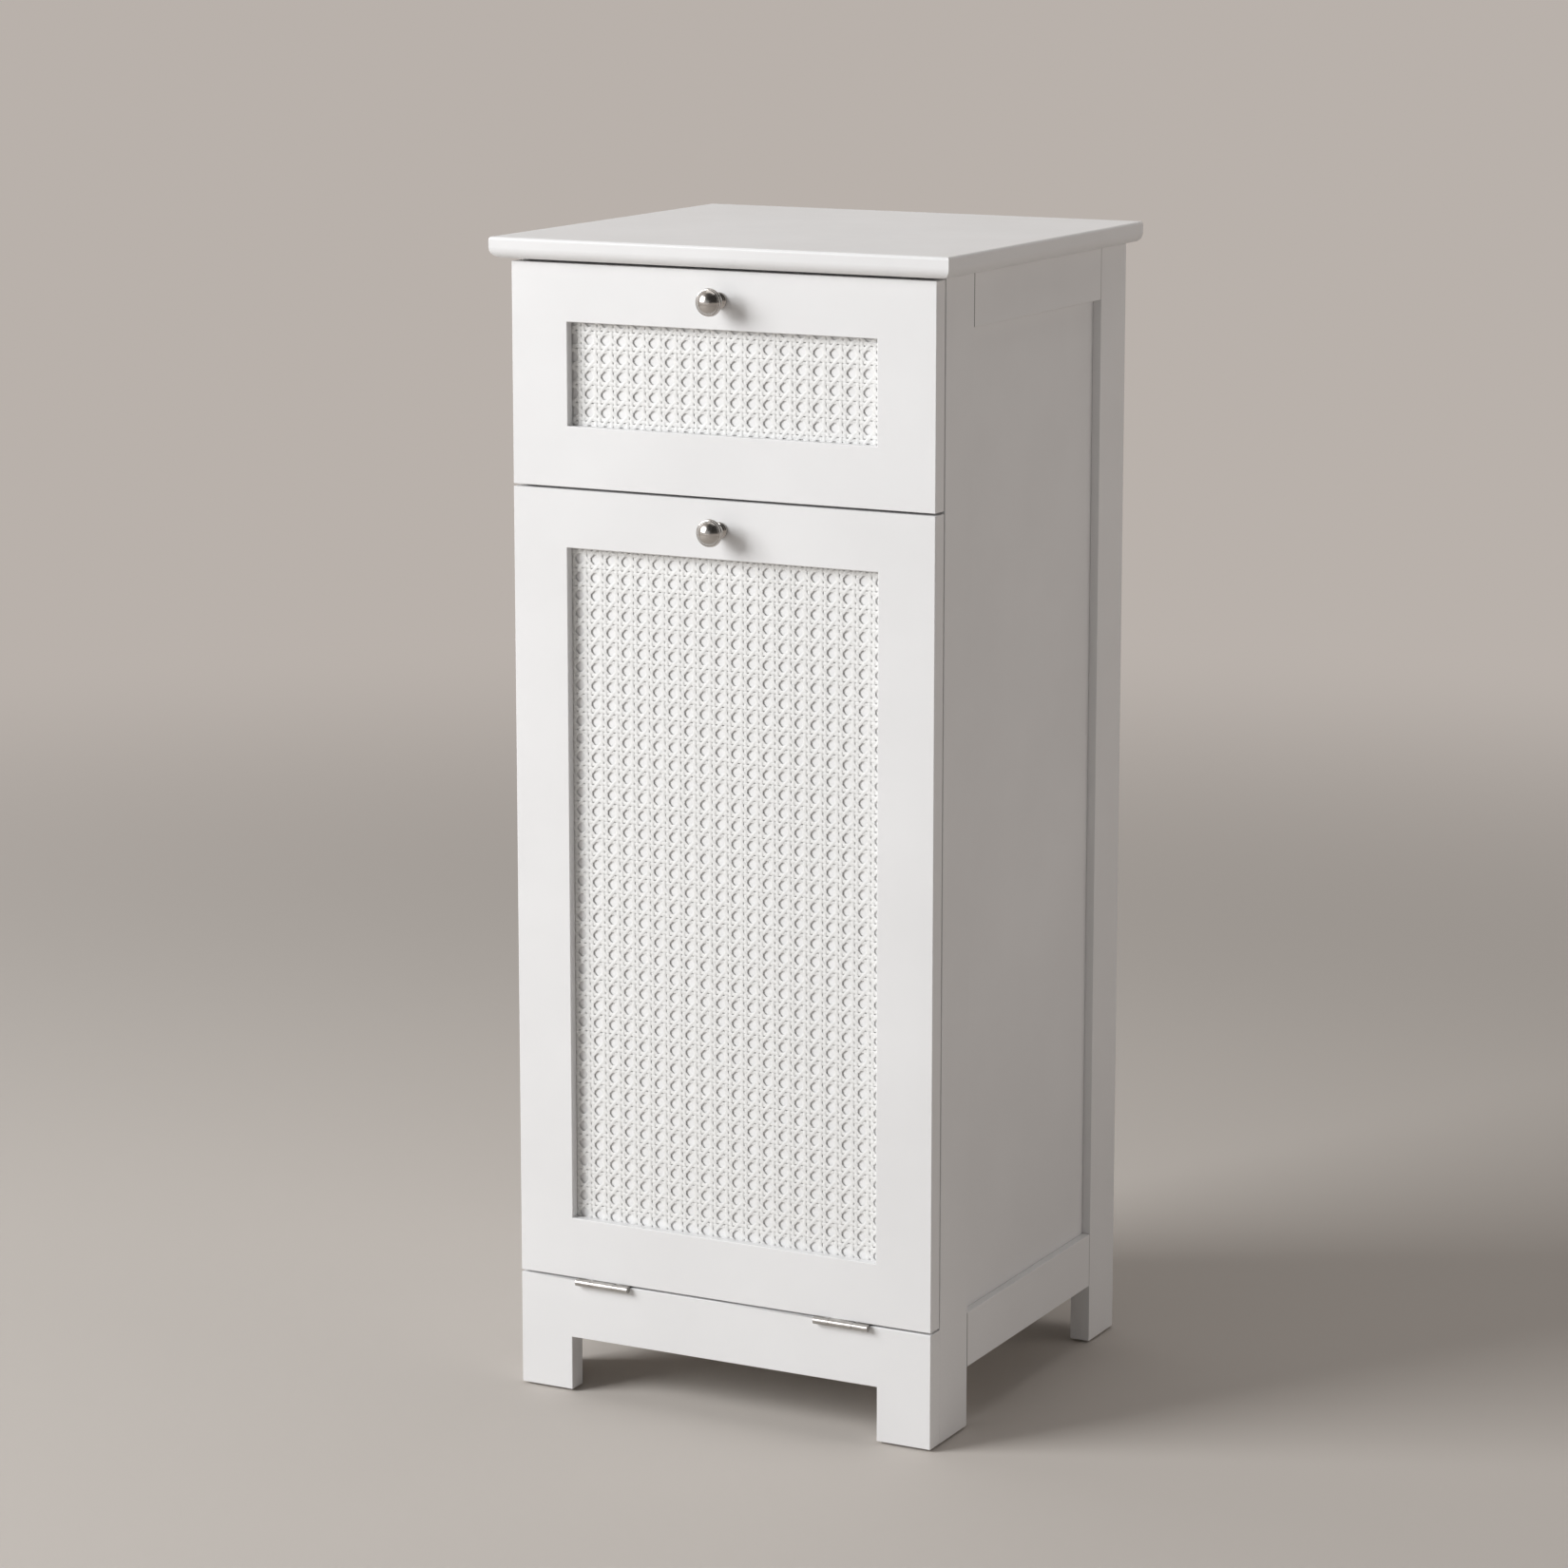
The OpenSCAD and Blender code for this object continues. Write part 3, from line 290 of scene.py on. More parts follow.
def moulded_plastic(name, dark, light, roughness):
    """Plastic with the faint spark-eroded texture that its mould leaves."""
    surface, tree, shader = finish(name, metallic=0, roughness=roughness)
    tint(tree, shader, mottle(tree, size=0.006), dark=dark, light=light)
    sheen_patches(tree, shader, mottle(tree, size=0.002), low=roughness - 0.06, high=roughness + 0.08)
    relief(tree, shader, mottle(tree, size=0.0004, detail=1), height=0.000008)
    return surface


coat("foot_glides", moulded_plastic("glide_plastic", GLIDE_DARK, GLIDE_LIGHT, roughness=0.5))


# Back. Two painted rails between the rear legs, and a thin hardboard panel in their
# grooves, with a white lacquered face.
HARDBOARD_DARK = (0.757, 0.752, 0.740)
HARDBOARD_LIGHT = (0.785, 0.780, 0.768)


def lacquered_hardboard():
    """White lacquer over pressed fibre, which shows through as fine pimples."""
    surface, tree, shader = finish("lacquered_hardboard", metallic=0, roughness=0.5)
    tint(tree, shader, mottle(tree, size=0.05), dark=HARDBOARD_DARK, light=HARDBOARD_LIGHT)
    sheen_patches(tree, shader, mottle(tree, size=0.012), low=0.46, high=0.6)
    relief(tree, shader, mottle(tree, size=0.0016), height=0.00003)
    return surface


for rail in ("rear_top_rail", "rear_bottom_rail"):
    ease(rail, BOARD_EASE)
    coat(rail, paint)
coat("back_panel", lacquered_hardboard())


# Boards inside the body: the floor, the divider under the drawer and the stretcher under
# the top. They are white melamine-faced chipboard with a fine pebbled face.
MELAMINE_DARK = (0.770, 0.770, 0.765)
MELAMINE_LIGHT = (0.805, 0.805, 0.800)
INNER_BOARD_EASE = 0.0005


def melamine():
    """White melamine film, pressed on with a fine pebble grain."""
    surface, tree, shader = finish("white_melamine", metallic=0, roughness=0.45)
    tint(tree, shader, mottle(tree, size=0.1), dark=MELAMINE_DARK, light=MELAMINE_LIGHT)
    sheen_patches(tree, shader, mottle(tree, size=0.02), low=0.4, high=0.5)
    relief(tree, shader, mottle(tree, size=0.0007, detail=2), height=0.00003)
    return surface


white_board = melamine()
for board in ("floor_panel", "divider_panel", "front_stretcher"):
    ease(board, INNER_BOARD_EASE)
    coat(board, white_board)


# Cleats and battens. Bare pine strips, glued inside the side frames: the cleats carry the
# floor and the divider, and the battens give the drawer slides something to screw into.
PINE_DARK = (0.50, 0.33, 0.17)
PINE_LIGHT = (0.72, 0.54, 0.33)
STRIP_EASE = 0.0008
pine = bare_wood("bare_pine", PINE_DARK, PINE_LIGHT, stretch=(1, 40, 3))
for strip in ("panel_cleats", "slide_battens"):
    ease(strip, STRIP_EASE)
    coat(strip, pine)


# Top panel. One 18 mm board whose front and ends are moulded to a nose, with a small
# rounding above and a larger one below, and then painted like the rest.
coat("top_panel", paint)


# Screws of the top. Four zinc-plated steel screws with a cross recess, driven up through the
# stretcher and the rear rail into the top panel.
ZINC_DARK = (0.56, 0.57, 0.58)
ZINC_LIGHT = (0.66, 0.67, 0.69)
BIG_HEAD_R = 0.004
BIG_HEAD_H = 0.0022
BIG_SHANK_R = 0.002
TURN = 2 * math.pi
SCREW_SIDES = 32
SPIN_STEP = 0.7
ARM_SHARPNESS = 6
# Reach and waist of the cross, and the head's flat, as shares of the head's radius
RECESS_FLOOR = (0.16, 0.10)
RECESS_MOUTH = (0.58, 0.20)
HEAD_FLAT = 0.93
# Depth of the cross and of the head's upright edge, as shares of the head's height
RECESS_DEPTH = 0.8
HEAD_EDGE = 0.08
# Pitch and root of the thread, and length and end of the point, as shares of the shank's radius
THREAD_PITCH = 0.9
THREAD_ROOT = 0.72
POINT_LENGTH = 2
POINT_R = 0.08
# Width of the thread at three places of a turn, and those places as shares of the pitch
THREAD = ((1, 0.1), (THREAD_ROOT, 0.45), (THREAD_ROOT, 0.6))


def plated_steel(name, dark, light, low, high):
    """Plated steel with the faint drawn streaks that the metal under the plate has."""
    surface, tree, shader = finish(name, metallic=1, roughness=(low + high) / 2)
    tint(tree, shader, mottle(tree, size=0.004), dark=dark, light=light)
    sheen_patches(tree, shader, mottle(tree, size=0.0008, stretch=(1, 8, 1)), low=low, high=high)
    streaks = mottle(tree, size=0.0005, stretch=(1, 10, 1), detail=2)
    relief(tree, shader, streaks, height=0.000004)
    return surface


def turn_to(place, aim):
    """Places a shape that was drawn along +Z, so that it points along aim from place."""
    return Matrix.Translation(place) @ Vector(aim).to_track_quat("Z", "Y").to_matrix().to_4x4()


def ring(radius, out, sides):
    """Points of a circle round the axis of a turned piece, at a distance out along it."""
    return [Vector((radius * math.cos(TURN * i / sides), radius * math.sin(TURN * i / sides), out))
            for i in range(sides)]


def cross_ring(reach, waist, out):
    """Outline of a cross recess, with as many points as a screw's rings."""
    points = []
    for i in range(SCREW_SIDES):
        angle = TURN * i / SCREW_SIDES
        arm = abs(math.cos(2 * angle)) ** ARM_SHARPNESS
        radius = waist + (reach - waist) * arm
        points.append(Vector((radius * math.cos(angle), radius * math.sin(angle), out)))
    return points


def skin_rings(rings, verts, faces):
    """Joins rings of equal counts by quads and closes both ends."""
    sides = len(rings[0])
    start = len(verts)
    for row in rings:
        verts.extend(row)
    for level in range(len(rings) - 1):
        for i in range(sides):
            a = start + level * sides + i
            b = start + level * sides + (i + 1) % sides
            faces.append((a, b, b + sides, a + sides))
    faces.append(tuple(start + i for i in reversed(range(sides))))
    last = start + (len(rings) - 1) * sides
    faces.append(tuple(last + i for i in range(sides)))


def piece_of(name, verts, faces, surface, body, crisp_degrees=30):
    """Makes a piece of the cabinet from points and faces and rides it on a body."""
    mesh = bpy.data.meshes.new(name)
    mesh.from_pydata([tuple(v) for v in verts], [], faces)
    mesh.materials.append(surface)
    mesh.shade_smooth()
    mesh.set_sharp_from_angle(angle=math.radians(crisp_degrees))
    piece = bpy.data.objects.new(name, mesh)
    bpy.context.scene.collection.objects.link(piece)
    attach(piece, body)
    return piece


def screw_rings(length, shank_r, head_r, head_h):
    """Rings of a countersunk screw along +Z, from the bottom of its recess to its point."""
    rings = [
        cross_ring(head_r * RECESS_FLOOR[0], head_r * RECESS_FLOOR[1], head_h * RECESS_DEPTH),
        cross_ring(head_r * RECESS_MOUTH[0], head_r * RECESS_MOUTH[1], 0),
        ring(head_r * HEAD_FLAT, 0, SCREW_SIDES),
        ring(head_r, head_h * HEAD_EDGE, SCREW_SIDES),
        ring(shank_r, head_h, SCREW_SIDES),
    ]
    pitch = shank_r * THREAD_PITCH
    thread_end = length - POINT_LENGTH * shank_r
    for i in range(int((thread_end - head_h) / pitch)):
        for width, share in THREAD:
            rings.append(ring(shank_r * width, head_h + (i + share) * pitch, SCREW_SIDES))
    rings.append(ring(shank_r * THREAD_ROOT, thread_end, SCREW_SIDES))
    rings.append(ring(shank_r * POINT_R, length, SCREW_SIDES))
    return rings


def screws(name, node, body, places, aim, length, shank_r, head_r, head_h):
    """Stands a group of screws in the place of a node's plain ones."""
    verts = []
    faces = []
    for number, place in enumerate(places):
        heading = aim(place) if callable(aim) else aim
        seat = turn_to(place, heading) @ Matrix.Rotation(number * SPIN_STEP, 4, "Z")
        rings = screw_rings(length, shank_r, head_r, head_h)
        skin_rings([[seat @ point for point in row] for row in rings], verts, faces)
    group = piece_of(name, verts, faces, zinc, body)
    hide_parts(node)


zinc = plated_steel("zinc_plate", ZINC_DARK, ZINC_LIGHT, low=0.26, high=0.42)
low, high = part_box("top_screws")
screws("top_fixing_screws", "top_screws", "root",
       [(x, y, low.z) for x in (low.x + BIG_HEAD_R, high.x - BIG_HEAD_R)
        for y in (low.y + BIG_HEAD_R, high.y - BIG_HEAD_R)],
       (0, 0, 1), high.z - low.z, BIG_SHANK_R, BIG_HEAD_R, BIG_HEAD_H)


# Drawer slides. On each side an outer member is screwed to the body and an inner one to
# the drawer: rolled steel channels, bright zinc-plated, with balls in a cage between them.
BALL_DARK = (0.60, 0.60, 0.61)
BALL_LIGHT = (0.70, 0.70, 0.71)
STRIP_STEEL_EASE = 0.0003
CHANNEL_T = 0.0012
SMALL_HEAD_R = 0.0029
SMALL_HEAD_H = 0.0013
SMALL_SHANK_R = 0.0015
RUNNER_SCREW_LENGTH = 0.008


def outward(place):
    """Gives the direction from the middle of the cabinet to the side on which a place lies."""
    return (math.copysign(1, place[0]), 0, 0)


def inward(place):
    """Gives the direction from that side back to the middle."""
    return (-math.copysign(1, place[0]), 0, 0)


polished_steel = plated_steel("bearing_steel", BALL_DARK, BALL_LIGHT, low=0.10, high=0.18)
for member in ("slide_channels", "slide_runners", "ball_cages"):
    ease(member, STRIP_STEEL_EASE)
    coat(member, zinc)
coat("slide_balls", polished_steel)
channels_low, channels_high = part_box("slide_channels")
low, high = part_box("slide_screws")
middle_z = (low.z + high.z) / 2
channel_face = channels_high.x - CHANNEL_T
channel_ys = (low.y + SMALL_HEAD_R, (channels_low.y + channels_high.y) / 2, high.y - SMALL_HEAD_R)
screws("slide_fixing_screws", "slide_screws", "root",
       [(side * channel_face, y, middle_z) for side in (-1, 1) for y in channel_ys],
       outward, high.x - channel_face, SMALL_SHANK_R, SMALL_HEAD_R, SMALL_HEAD_H)
low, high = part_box("runner_screws")
runner_ys = (low.y + SMALL_HEAD_R, high.y - SMALL_HEAD_R)
screws("runner_fixing_screws", "runner_screws", "drawer",
       [(side * high.x, y, middle_z) for side in (-1, 1) for y in runner_ys],
       inward, RUNNER_SCREW_LENGTH, SMALL_SHANK_R, SMALL_HEAD_R, SMALL_HEAD_H)


# Drawer box. Two sides, a front and a back of 12 mm melamine board, with a thin bottom
# board slid into their grooves.
BOX_EASE = 0.0006
for board in ("drawer_left_side", "drawer_right_side", "drawer_box_front", "drawer_box_back",
              "drawer_bottom"):
    ease(board, BOX_EASE)
    coat(board, white_board)


# Drawer front. A 16 mm board with a wide window milled through it and a step round the back
# of the window, painted, and held on the box by four screws from inside.
ease("drawer_front", BOARD_EASE)
coat("drawer_front", paint)
low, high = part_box("drawer_front_screws")
screws("drawer_front_fixing_screws", "drawer_front_screws", "drawer",
       [(x, high.y, z) for x in (low.x + BIG_HEAD_R, high.x - BIG_HEAD_R)
        for z in (low.z + BIG_HEAD_R, high.z - BIG_HEAD_R)],
       (0, -1, 0), high.y - low.y, BIG_SHANK_R, BIG_HEAD_R, BIG_HEAD_H)


# Cane of the drawer. Six-way cane webbing: pairs of strands run upright and across in a
# basket weave, and single strands cross them both ways on the slant, round eight-sided
# holes. It is stretched, stapled into the step and painted white.
CANE_DARK = (0.78, 0.78, 0.77)
CANE_LIGHT = (0.84, 0.84, 0.83)
STRAND_HALF_W = 0.00150
STRAND_T = 0.00050
# Half of a strand's section, as shares of its half width and of its thickness
STRAND_SECTION = ((-1, 0.38), (-0.55, 0.78), (0.55, 0.78), (1, 0.38), (0, -0.25))
PAIR_HALF_GAP = 0.00184
MID_LAYER = 0.00094
WEAVE_RISE = 0.00032
# Where a strand lies level between two crossings, as shares of the pitch
LEVEL_SHARES = (0.28, 0.72)
SLANT_RISE = 0.00034
SLANT_STEPS = 4
SLANT_SPARE = 2
FEWEST_POINTS = 4
STRAND_WANDER = 0.00008
WEBBING_TRIM = 0.0008
# Middle of one hole, and the distance between holes, across and up
DRAWER_HOLE = (-0.1279, 0.8703)
DRAWER_PITCH = (0.01527, 0.01517)


def painted_cane():
    """Cane under thin white paint, with its pores and fibres just showing."""
    surface, tree, shader = finish("painted_cane", metallic=0, roughness=0.5)
    tint(tree, shader, mottle(tree, size=0.004), dark=CANE_DARK, light=CANE_LIGHT)
    sheen_patches(tree, shader, mottle(tree, size=0.003), low=0.42, high=0.58)
    relief(tree, shader, mottle(tree, size=0.0005, detail=2), height=0.00002)
    return surface


def wander():
    """Gives the small amount by which a strand lies off its line."""
    return wobble.uniform(-STRAND_WANDER, STRAND_WANDER)


def grid_lines(hole, pitch, low, high):
    """Places midway between the holes, from just before low to just after high."""
    line = hole - pitch / 2
    line -= math.floor((line - low) / pitch + 1) * pitch
    lines = []
    while line < high + pitch:
        lines.append(line)
        line += pitch
    return lines


def square_strands(along_x, low, high, hole, pitch):
    """Gives path and side direction of the paired strands that run upright or, with along_x, across."""
    run = 0 if along_x else 1
    step = 1 - run
    for line in grid_lines(hole[step], pitch[step], low[step], high[step]):
        for pair in (-1, 1):
            place = line + pair * PAIR_HALF_GAP + wander()
            if not low[step] + STRAND_HALF_W < place < high[step] - STRAND_HALF_W:
                continue
            path = [(low[run], MID_LAYER)]
            for crossing in grid_lines(hole[run], pitch[run], low[run], high[run]):
                for other in (-1, 1):
                    over = -pair * other if along_x else pair * other
                    path.append((crossing + other * PAIR_HALF_GAP, MID_LAYER + over * WEAVE_RISE))
                for share in LEVEL_SHARES:
                    path.append((crossing + share * pitch[run], MID_LAYER))
            path = [point for point in path if low[run] <= point[0] <= high[run]]
            path.append((high[run], MID_LAYER))
            if along_x:
                yield [(t, place, up) for t, up in path], (0, 1)
            else:
                yield [(place, t, up) for t, up in path], (-1, 0)


def slant_strands(rising, low, high, hole, pitch):
    """Gives path and side direction of the single strands that cross on the slant, through the pairs."""
    slope = pitch[1] / pitch[0] * (1 if rising else -1)
    length = math.hypot(1, slope)
    sideways = (-slope / length, 1 / length)
    lines = grid_lines(hole[0], pitch[0], low[0], high[0])
    span = math.ceil((high[1] - low[1]) / pitch[1])
    reach = (len(lines) + 2 * (span + SLANT_SPARE)) * SLANT_STEPS
    for number in range(-span - SLANT_SPARE, len(lines) + span + SLANT_SPARE):
        start_x = lines[0] + number * pitch[0] + wander()
        path = []
        for i in range(-reach, reach):
            x = start_x + i * pitch[0] / SLANT_STEPS
            z = hole[1] + (x - start_x) * slope
            if low[0] <= x <= high[0] and low[1] <= z <= high[1]:
                rise = SLANT_RISE * math.cos(TURN * i / SLANT_STEPS) * (-1 if rising else 1)
                path.append((x, z, MID_LAYER + rise))
        if len(path) >= FEWEST_POINTS:
            yield path, sideways


def lay_strand(path, sideways, back_y, verts, faces):
    """Sweeps the flat, domed section of a strand along a path of (x, z, height) points."""
    rows = []
    for x, z, up in path:
        row = []
        for across, rise in STRAND_SECTION:
            side = across * STRAND_HALF_W
            row.append(Vector((x + side * sideways[0], back_y - up - rise * STRAND_T,
                               z + side * sideways[1])))
        rows.append(row)
    skin_rings(rows, verts, faces)


def cane_webbing(name, node, body, hole, pitch):
    """Weaves the webbing of one window, as wide as the step behind the lip takes."""
    corner_low, corner_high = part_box(node)
    low = (corner_low.x + WEBBING_TRIM, corner_low.z + WEBBING_TRIM)
    high = (corner_high.x - WEBBING_TRIM, corner_high.z - WEBBING_TRIM)
    verts = []
    faces = []
    for strands in (square_strands(False, low, high, hole, pitch),
                    square_strands(True, low, high, hole, pitch),
                    slant_strands(True, low, high, hole, pitch),
                    slant_strands(False, low, high, hole, pitch)):
        for path, sideways in strands:
            lay_strand(path, sideways, corner_high.y, verts, faces)
    webbing = piece_of(name, verts, faces, cane, body, crisp_degrees=80)
    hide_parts(node)


cane = painted_cane()
wobble = random.Random(7)
cane_webbing("drawer_webbing", "drawer_cane", "drawer", DRAWER_HOLE, DRAWER_PITCH)


# Backing of the drawer's cane. A thin board fills the step behind the cane and is stapled in
# from behind. It is primed and rolled with a flatter, whiter paint than the frame has.
ROLLED_DARK = (0.85, 0.85, 0.85)
ROLLED_LIGHT = (0.89, 0.89, 0.89)


def rolled_white():
    """Flat paint with the low stipple of a foam roller."""
    surface, tree, shader = finish("rolled_white", metallic=0, roughness=0.6)
    tint(tree, shader, mottle(tree, size=0.03), dark=ROLLED_DARK, light=ROLLED_LIGHT)
    sheen_patches(tree, shader, mottle(tree, size=0.008), low=0.55, high=0.68)
    relief(tree, shader, mottle(tree, size=0.0014, detail=2), height=0.00002)
    return surface


backing_white = rolled_white()
coat("drawer_backing", backing_white)


# Knob of the drawer. Turned from solid brass on a lathe: a foot, a thin neck with a bead,
# a flared rim with a groove in its edge and a low dome, polished and nickel-plated.
NICKEL_DARK = (0.52, 0.495, 0.47)
NICKEL_LIGHT = (0.60, 0.575, 0.55)
KNOB_SIDES = 96
KNOB_TRIM = 0.93
TIP_R = 0.00002
# Outlines of the foot and the neck, as radius and distance out
FOOT = ((0, 0), (0.0068, 0), (0.0070, 0.0002), (0.0070, 0.0013), (0.0067, 0.0018), (0.0058, 0.0022))
NECK_R = 0.0042
NECK = ((NECK_R + 0.0005, 0.0026), (NECK_R, 0.0034), (NECK_R, 0.0076))
FLARE_R = 0.0048
FLARE_OUT = 0.0111
FLARE_STEPS = 10
RIM_INSET = 0.0012
RIM_ROOM = 0.0010
RIM_T = 0.0030
DOME_SHARE = 0.895
DOME_H = 0.0062
DOME_STEPS = 24
EDGE_BEAD_DROP = 0.0006
EDGE_BEAD_INSET = 0.0004
BEAD_STEPS = 8


def nickel_plate():
    """Polished nickel with the slightest haze of handling."""
    surface, tree, shader = finish("polished_nickel", metallic=1, roughness=0.23)
    tint(tree, shader, mottle(tree, size=0.02), dark=NICKEL_DARK, light=NICKEL_LIGHT)
    sheen_patches(tree, shader, mottle(tree, size=0.003), low=0.20, high=0.26)
    relief(tree, shader, mottle(tree, size=0.0012), height=0.000003)
    return surface


def bead(out, radius, thick, start, end):
    """Half-round ridge of the turned profile, between two angles in degrees."""
    points = []
    for i in range(BEAD_STEPS + 1):
        angle = math.radians(start + (end - start) * i / BEAD_STEPS)
        points.append((radius - thick + thick * math.cos(angle), out + thick * math.sin(angle)))
    return points


def knob_profile(reach, rim_r):
    """Profile of the knob in metres, from the middle of its foot to the top of its dome."""
    dome_r = rim_r * DOME_SHARE
    dome_out = reach - DOME_H
    rim_out = dome_out - RIM_T
    profile = [*FOOT, *NECK]
    profile += bead(out=0.0093, radius=0.0072, thick=0.0014, start=-75, end=75)
    for i in range(FLARE_STEPS + 1):
        angle = math.pi / 2 * i / FLARE_STEPS
        profile.append((FLARE_R + (rim_r - RIM_INSET - FLARE_R) * (1 - math.cos(angle)),
                        FLARE_OUT + (rim_out - RIM_ROOM - FLARE_OUT) * math.sin(angle)))
    profile += bead(out=rim_out, radius=rim_r, thick=0.0009, start=-80, end=70)
    profile += bead(out=dome_out - EDGE_BEAD_DROP, radius=rim_r - EDGE_BEAD_INSET, thick=0.0008,
                    start=-60, end=85)
    ball_r = (dome_r ** 2 + DOME_H ** 2) / (2 * DOME_H)
    end = math.asin(dome_r / ball_r)
    for i in range(DOME_STEPS + 1):
        angle = end * (1 - i / DOME_STEPS)
        profile.append((ball_r * math.sin(angle), reach - ball_r + ball_r * math.cos(angle)))
    return profile


def seat_on_front(low, high):
    """Places a turned shape so that it points forwards from the middle of a box's rear face."""
    return turn_to(Vector(((low.x + high.x) / 2, high.y, (low.z + high.z) / 2)), (0, -1, 0))


def turned_knob(name, node, body):
    """Turns a knob and stands it in the place of a node's plainer one."""
    low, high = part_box(node)
    seat = seat_on_front(low, high)
    rings = []
    for radius, out in knob_profile(high.y - low.y, (high.x - low.x) / 2 * KNOB_TRIM):
        rings.append([seat @ point for point in ring(max(radius, TIP_R), out, KNOB_SIDES)])
    verts = []
    faces = []
    skin_rings(rings, verts, faces)
    knob = piece_of(name, verts, faces, nickel, body, crisp_degrees=50)
    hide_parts(node)


nickel = nickel_plate()
turned_knob("drawer_turned_knob", "drawer_knob", "drawer")


# Knob screws and bumpers. A round-headed screw holds the knob from behind, and a soft
# bumper on each side keeps the front off the body.
BUMPER_DARK = (0.62, 0.62, 0.60)
BUMPER_LIGHT = (0.70, 0.70, 0.68)
PAN_HEAD_H = 0.0024
PAN_SHANK_R = 0.002
PAN_FLAT_OUT = 0.0001
PAN_STEPS = 6
SHANK_CHAMFER = 0.0005
# Shares of the radius of the head or the shank
PAN_RECESS_FLOOR = (0.16, 0.10)
PAN_RECESS_MOUTH = (0.55, 0.18)
PAN_FLAT = 0.62
SHANK_END = 0.75
# Shares of the head's height
PAN_RECESS_DEPTH = 0.7
PAN_CROWN = 0.75


def knob_screw(name, node, body):
    """Stands a round-headed screw in the place of a node's plain one."""
    low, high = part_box(node)
    length = high.y - low.y
    head_r = (high.x - low.x) / 2
    flat_r = head_r * PAN_FLAT
    rings = [
        cross_ring(head_r * PAN_RECESS_FLOOR[0], head_r * PAN_RECESS_FLOOR[1],
                   PAN_HEAD_H * PAN_RECESS_DEPTH),
        cross_ring(head_r * PAN_RECESS_MOUTH[0], head_r * PAN_RECESS_MOUTH[1], PAN_FLAT_OUT),
        ring(flat_r, PAN_FLAT_OUT, SCREW_SIDES),
    ]
    for i in range(1, PAN_STEPS + 1):
        angle = math.pi / 2 * i / PAN_STEPS
        rings.append(ring(flat_r + (head_r - flat_r) * math.sin(angle),
                          PAN_FLAT_OUT + PAN_HEAD_H * PAN_CROWN * (1 - math.cos(angle)), SCREW_SIDES))
    for radius, out in ((head_r, PAN_HEAD_H), (PAN_SHANK_R, PAN_HEAD_H),
                        (PAN_SHANK_R, length - SHANK_CHAMFER), (PAN_SHANK_R * SHANK_END, length)):
        rings.append(ring(radius, out, SCREW_SIDES))
    seat = seat_on_front(low, high)
    verts = []
    faces = []
    skin_rings([[seat @ point for point in row] for row in rings], verts, faces)
    screw = piece_of(name, verts, faces, zinc, body)
    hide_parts(node)


knob_screw("drawer_knob_fixing", "drawer_knob_screw", "drawer")
bumper_plastic = moulded_plastic("bumper_plastic", BUMPER_DARK, BUMPER_LIGHT, roughness=0.3)
coat("drawer_bumpers", bumper_plastic)


# Hinges. Two 50.8 mm butt hinges, pressed from steel strip and nickel-plated: one leaf lies
# in the top of the apron, the other under the door, and a pin runs through the knuckles.
HINGE_DARK = (0.44, 0.425, 0.405)
HINGE_LIGHT = (0.54, 0.525, 0.505)
HINGE_EASE = 0.0002
HINGE_SCREW_STEP = 0.0328


def brushed_nickel():
    """Nickel over steel strip that was brushed along the hinge."""
    surface, tree, shader = finish("satin_nickel", metallic=1, roughness=0.38)
    tint(tree, shader, mottle(tree, size=0.006), dark=HINGE_DARK, light=HINGE_LIGHT)
    sheen_patches(tree, shader, mottle(tree, size=0.0006, stretch=(12, 1, 1)), low=0.32, high=0.44)
    strokes = mottle(tree, size=0.0003, stretch=(20, 1, 1), detail=2)
    relief(tree, shader, strokes, height=0.000006)
    return surface


satin_nickel = brushed_nickel()
for leaf in ("hinge_fixed_leaves", "hinge_moving_leaves"):
    ease(leaf, HINGE_EASE)
    coat(leaf, satin_nickel)
coat("hinge_pins", satin_nickel)
for node, body, aim in (("hinge_fixed_screws", "root", (0, 0, -1)),
                        ("hinge_moving_screws", "door", (0, 0, 1))):
    low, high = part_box(node)
    outer_x = high.x - SMALL_HEAD_R
    face_z = high.z if aim[2] < 0 else low.z
    screws(node.replace("_screws", "_fixing_screws"), node, body,
           [(side * x, (low.y + high.y) / 2, face_z) for side in (-1, 1)
            for x in (outer_x - HINGE_SCREW_STEP, outer_x)],
           aim, high.z - low.z, SMALL_SHANK_R, SMALL_HEAD_R, SMALL_HEAD_H)


# Door. The same kind of 16 mm board as the drawer front, with a tall window and with its own
# webbing, backing, knob and bumpers. It turns on the two hinges under its lower edge and
# carries the bin.
DOOR_HOLE = (-0.1239, 0.7307)
DOOR_PITCH = (0.01483, 0.01542)
ease("door_frame", BOARD_EASE)
coat("door_frame", paint)
cane_webbing("door_webbing", "door_cane", "door", DOOR_HOLE, DOOR_PITCH)
coat("door_backing", backing_white)
turned_knob("door_turned_knob", "door_knob", "door")
knob_screw("door_knob_fixing", "door_knob_screw", "door")
coat("door_bumpers", bumper_plastic)


# Hamper bin. Four melamine boards, screwed to the back of the door with steel angle
# brackets. The sides are sawn to an arc round the hinges, and each has a curved slot in
# which a steel stop pin runs.
for board in ("bin_left_side", "bin_right_side", "bin_floor", "bin_back"):
    ease(board, BOX_EASE)
    coat(board, white_board)
coat("stop_pins", polished_steel)
coat("bin_brackets", zinc)


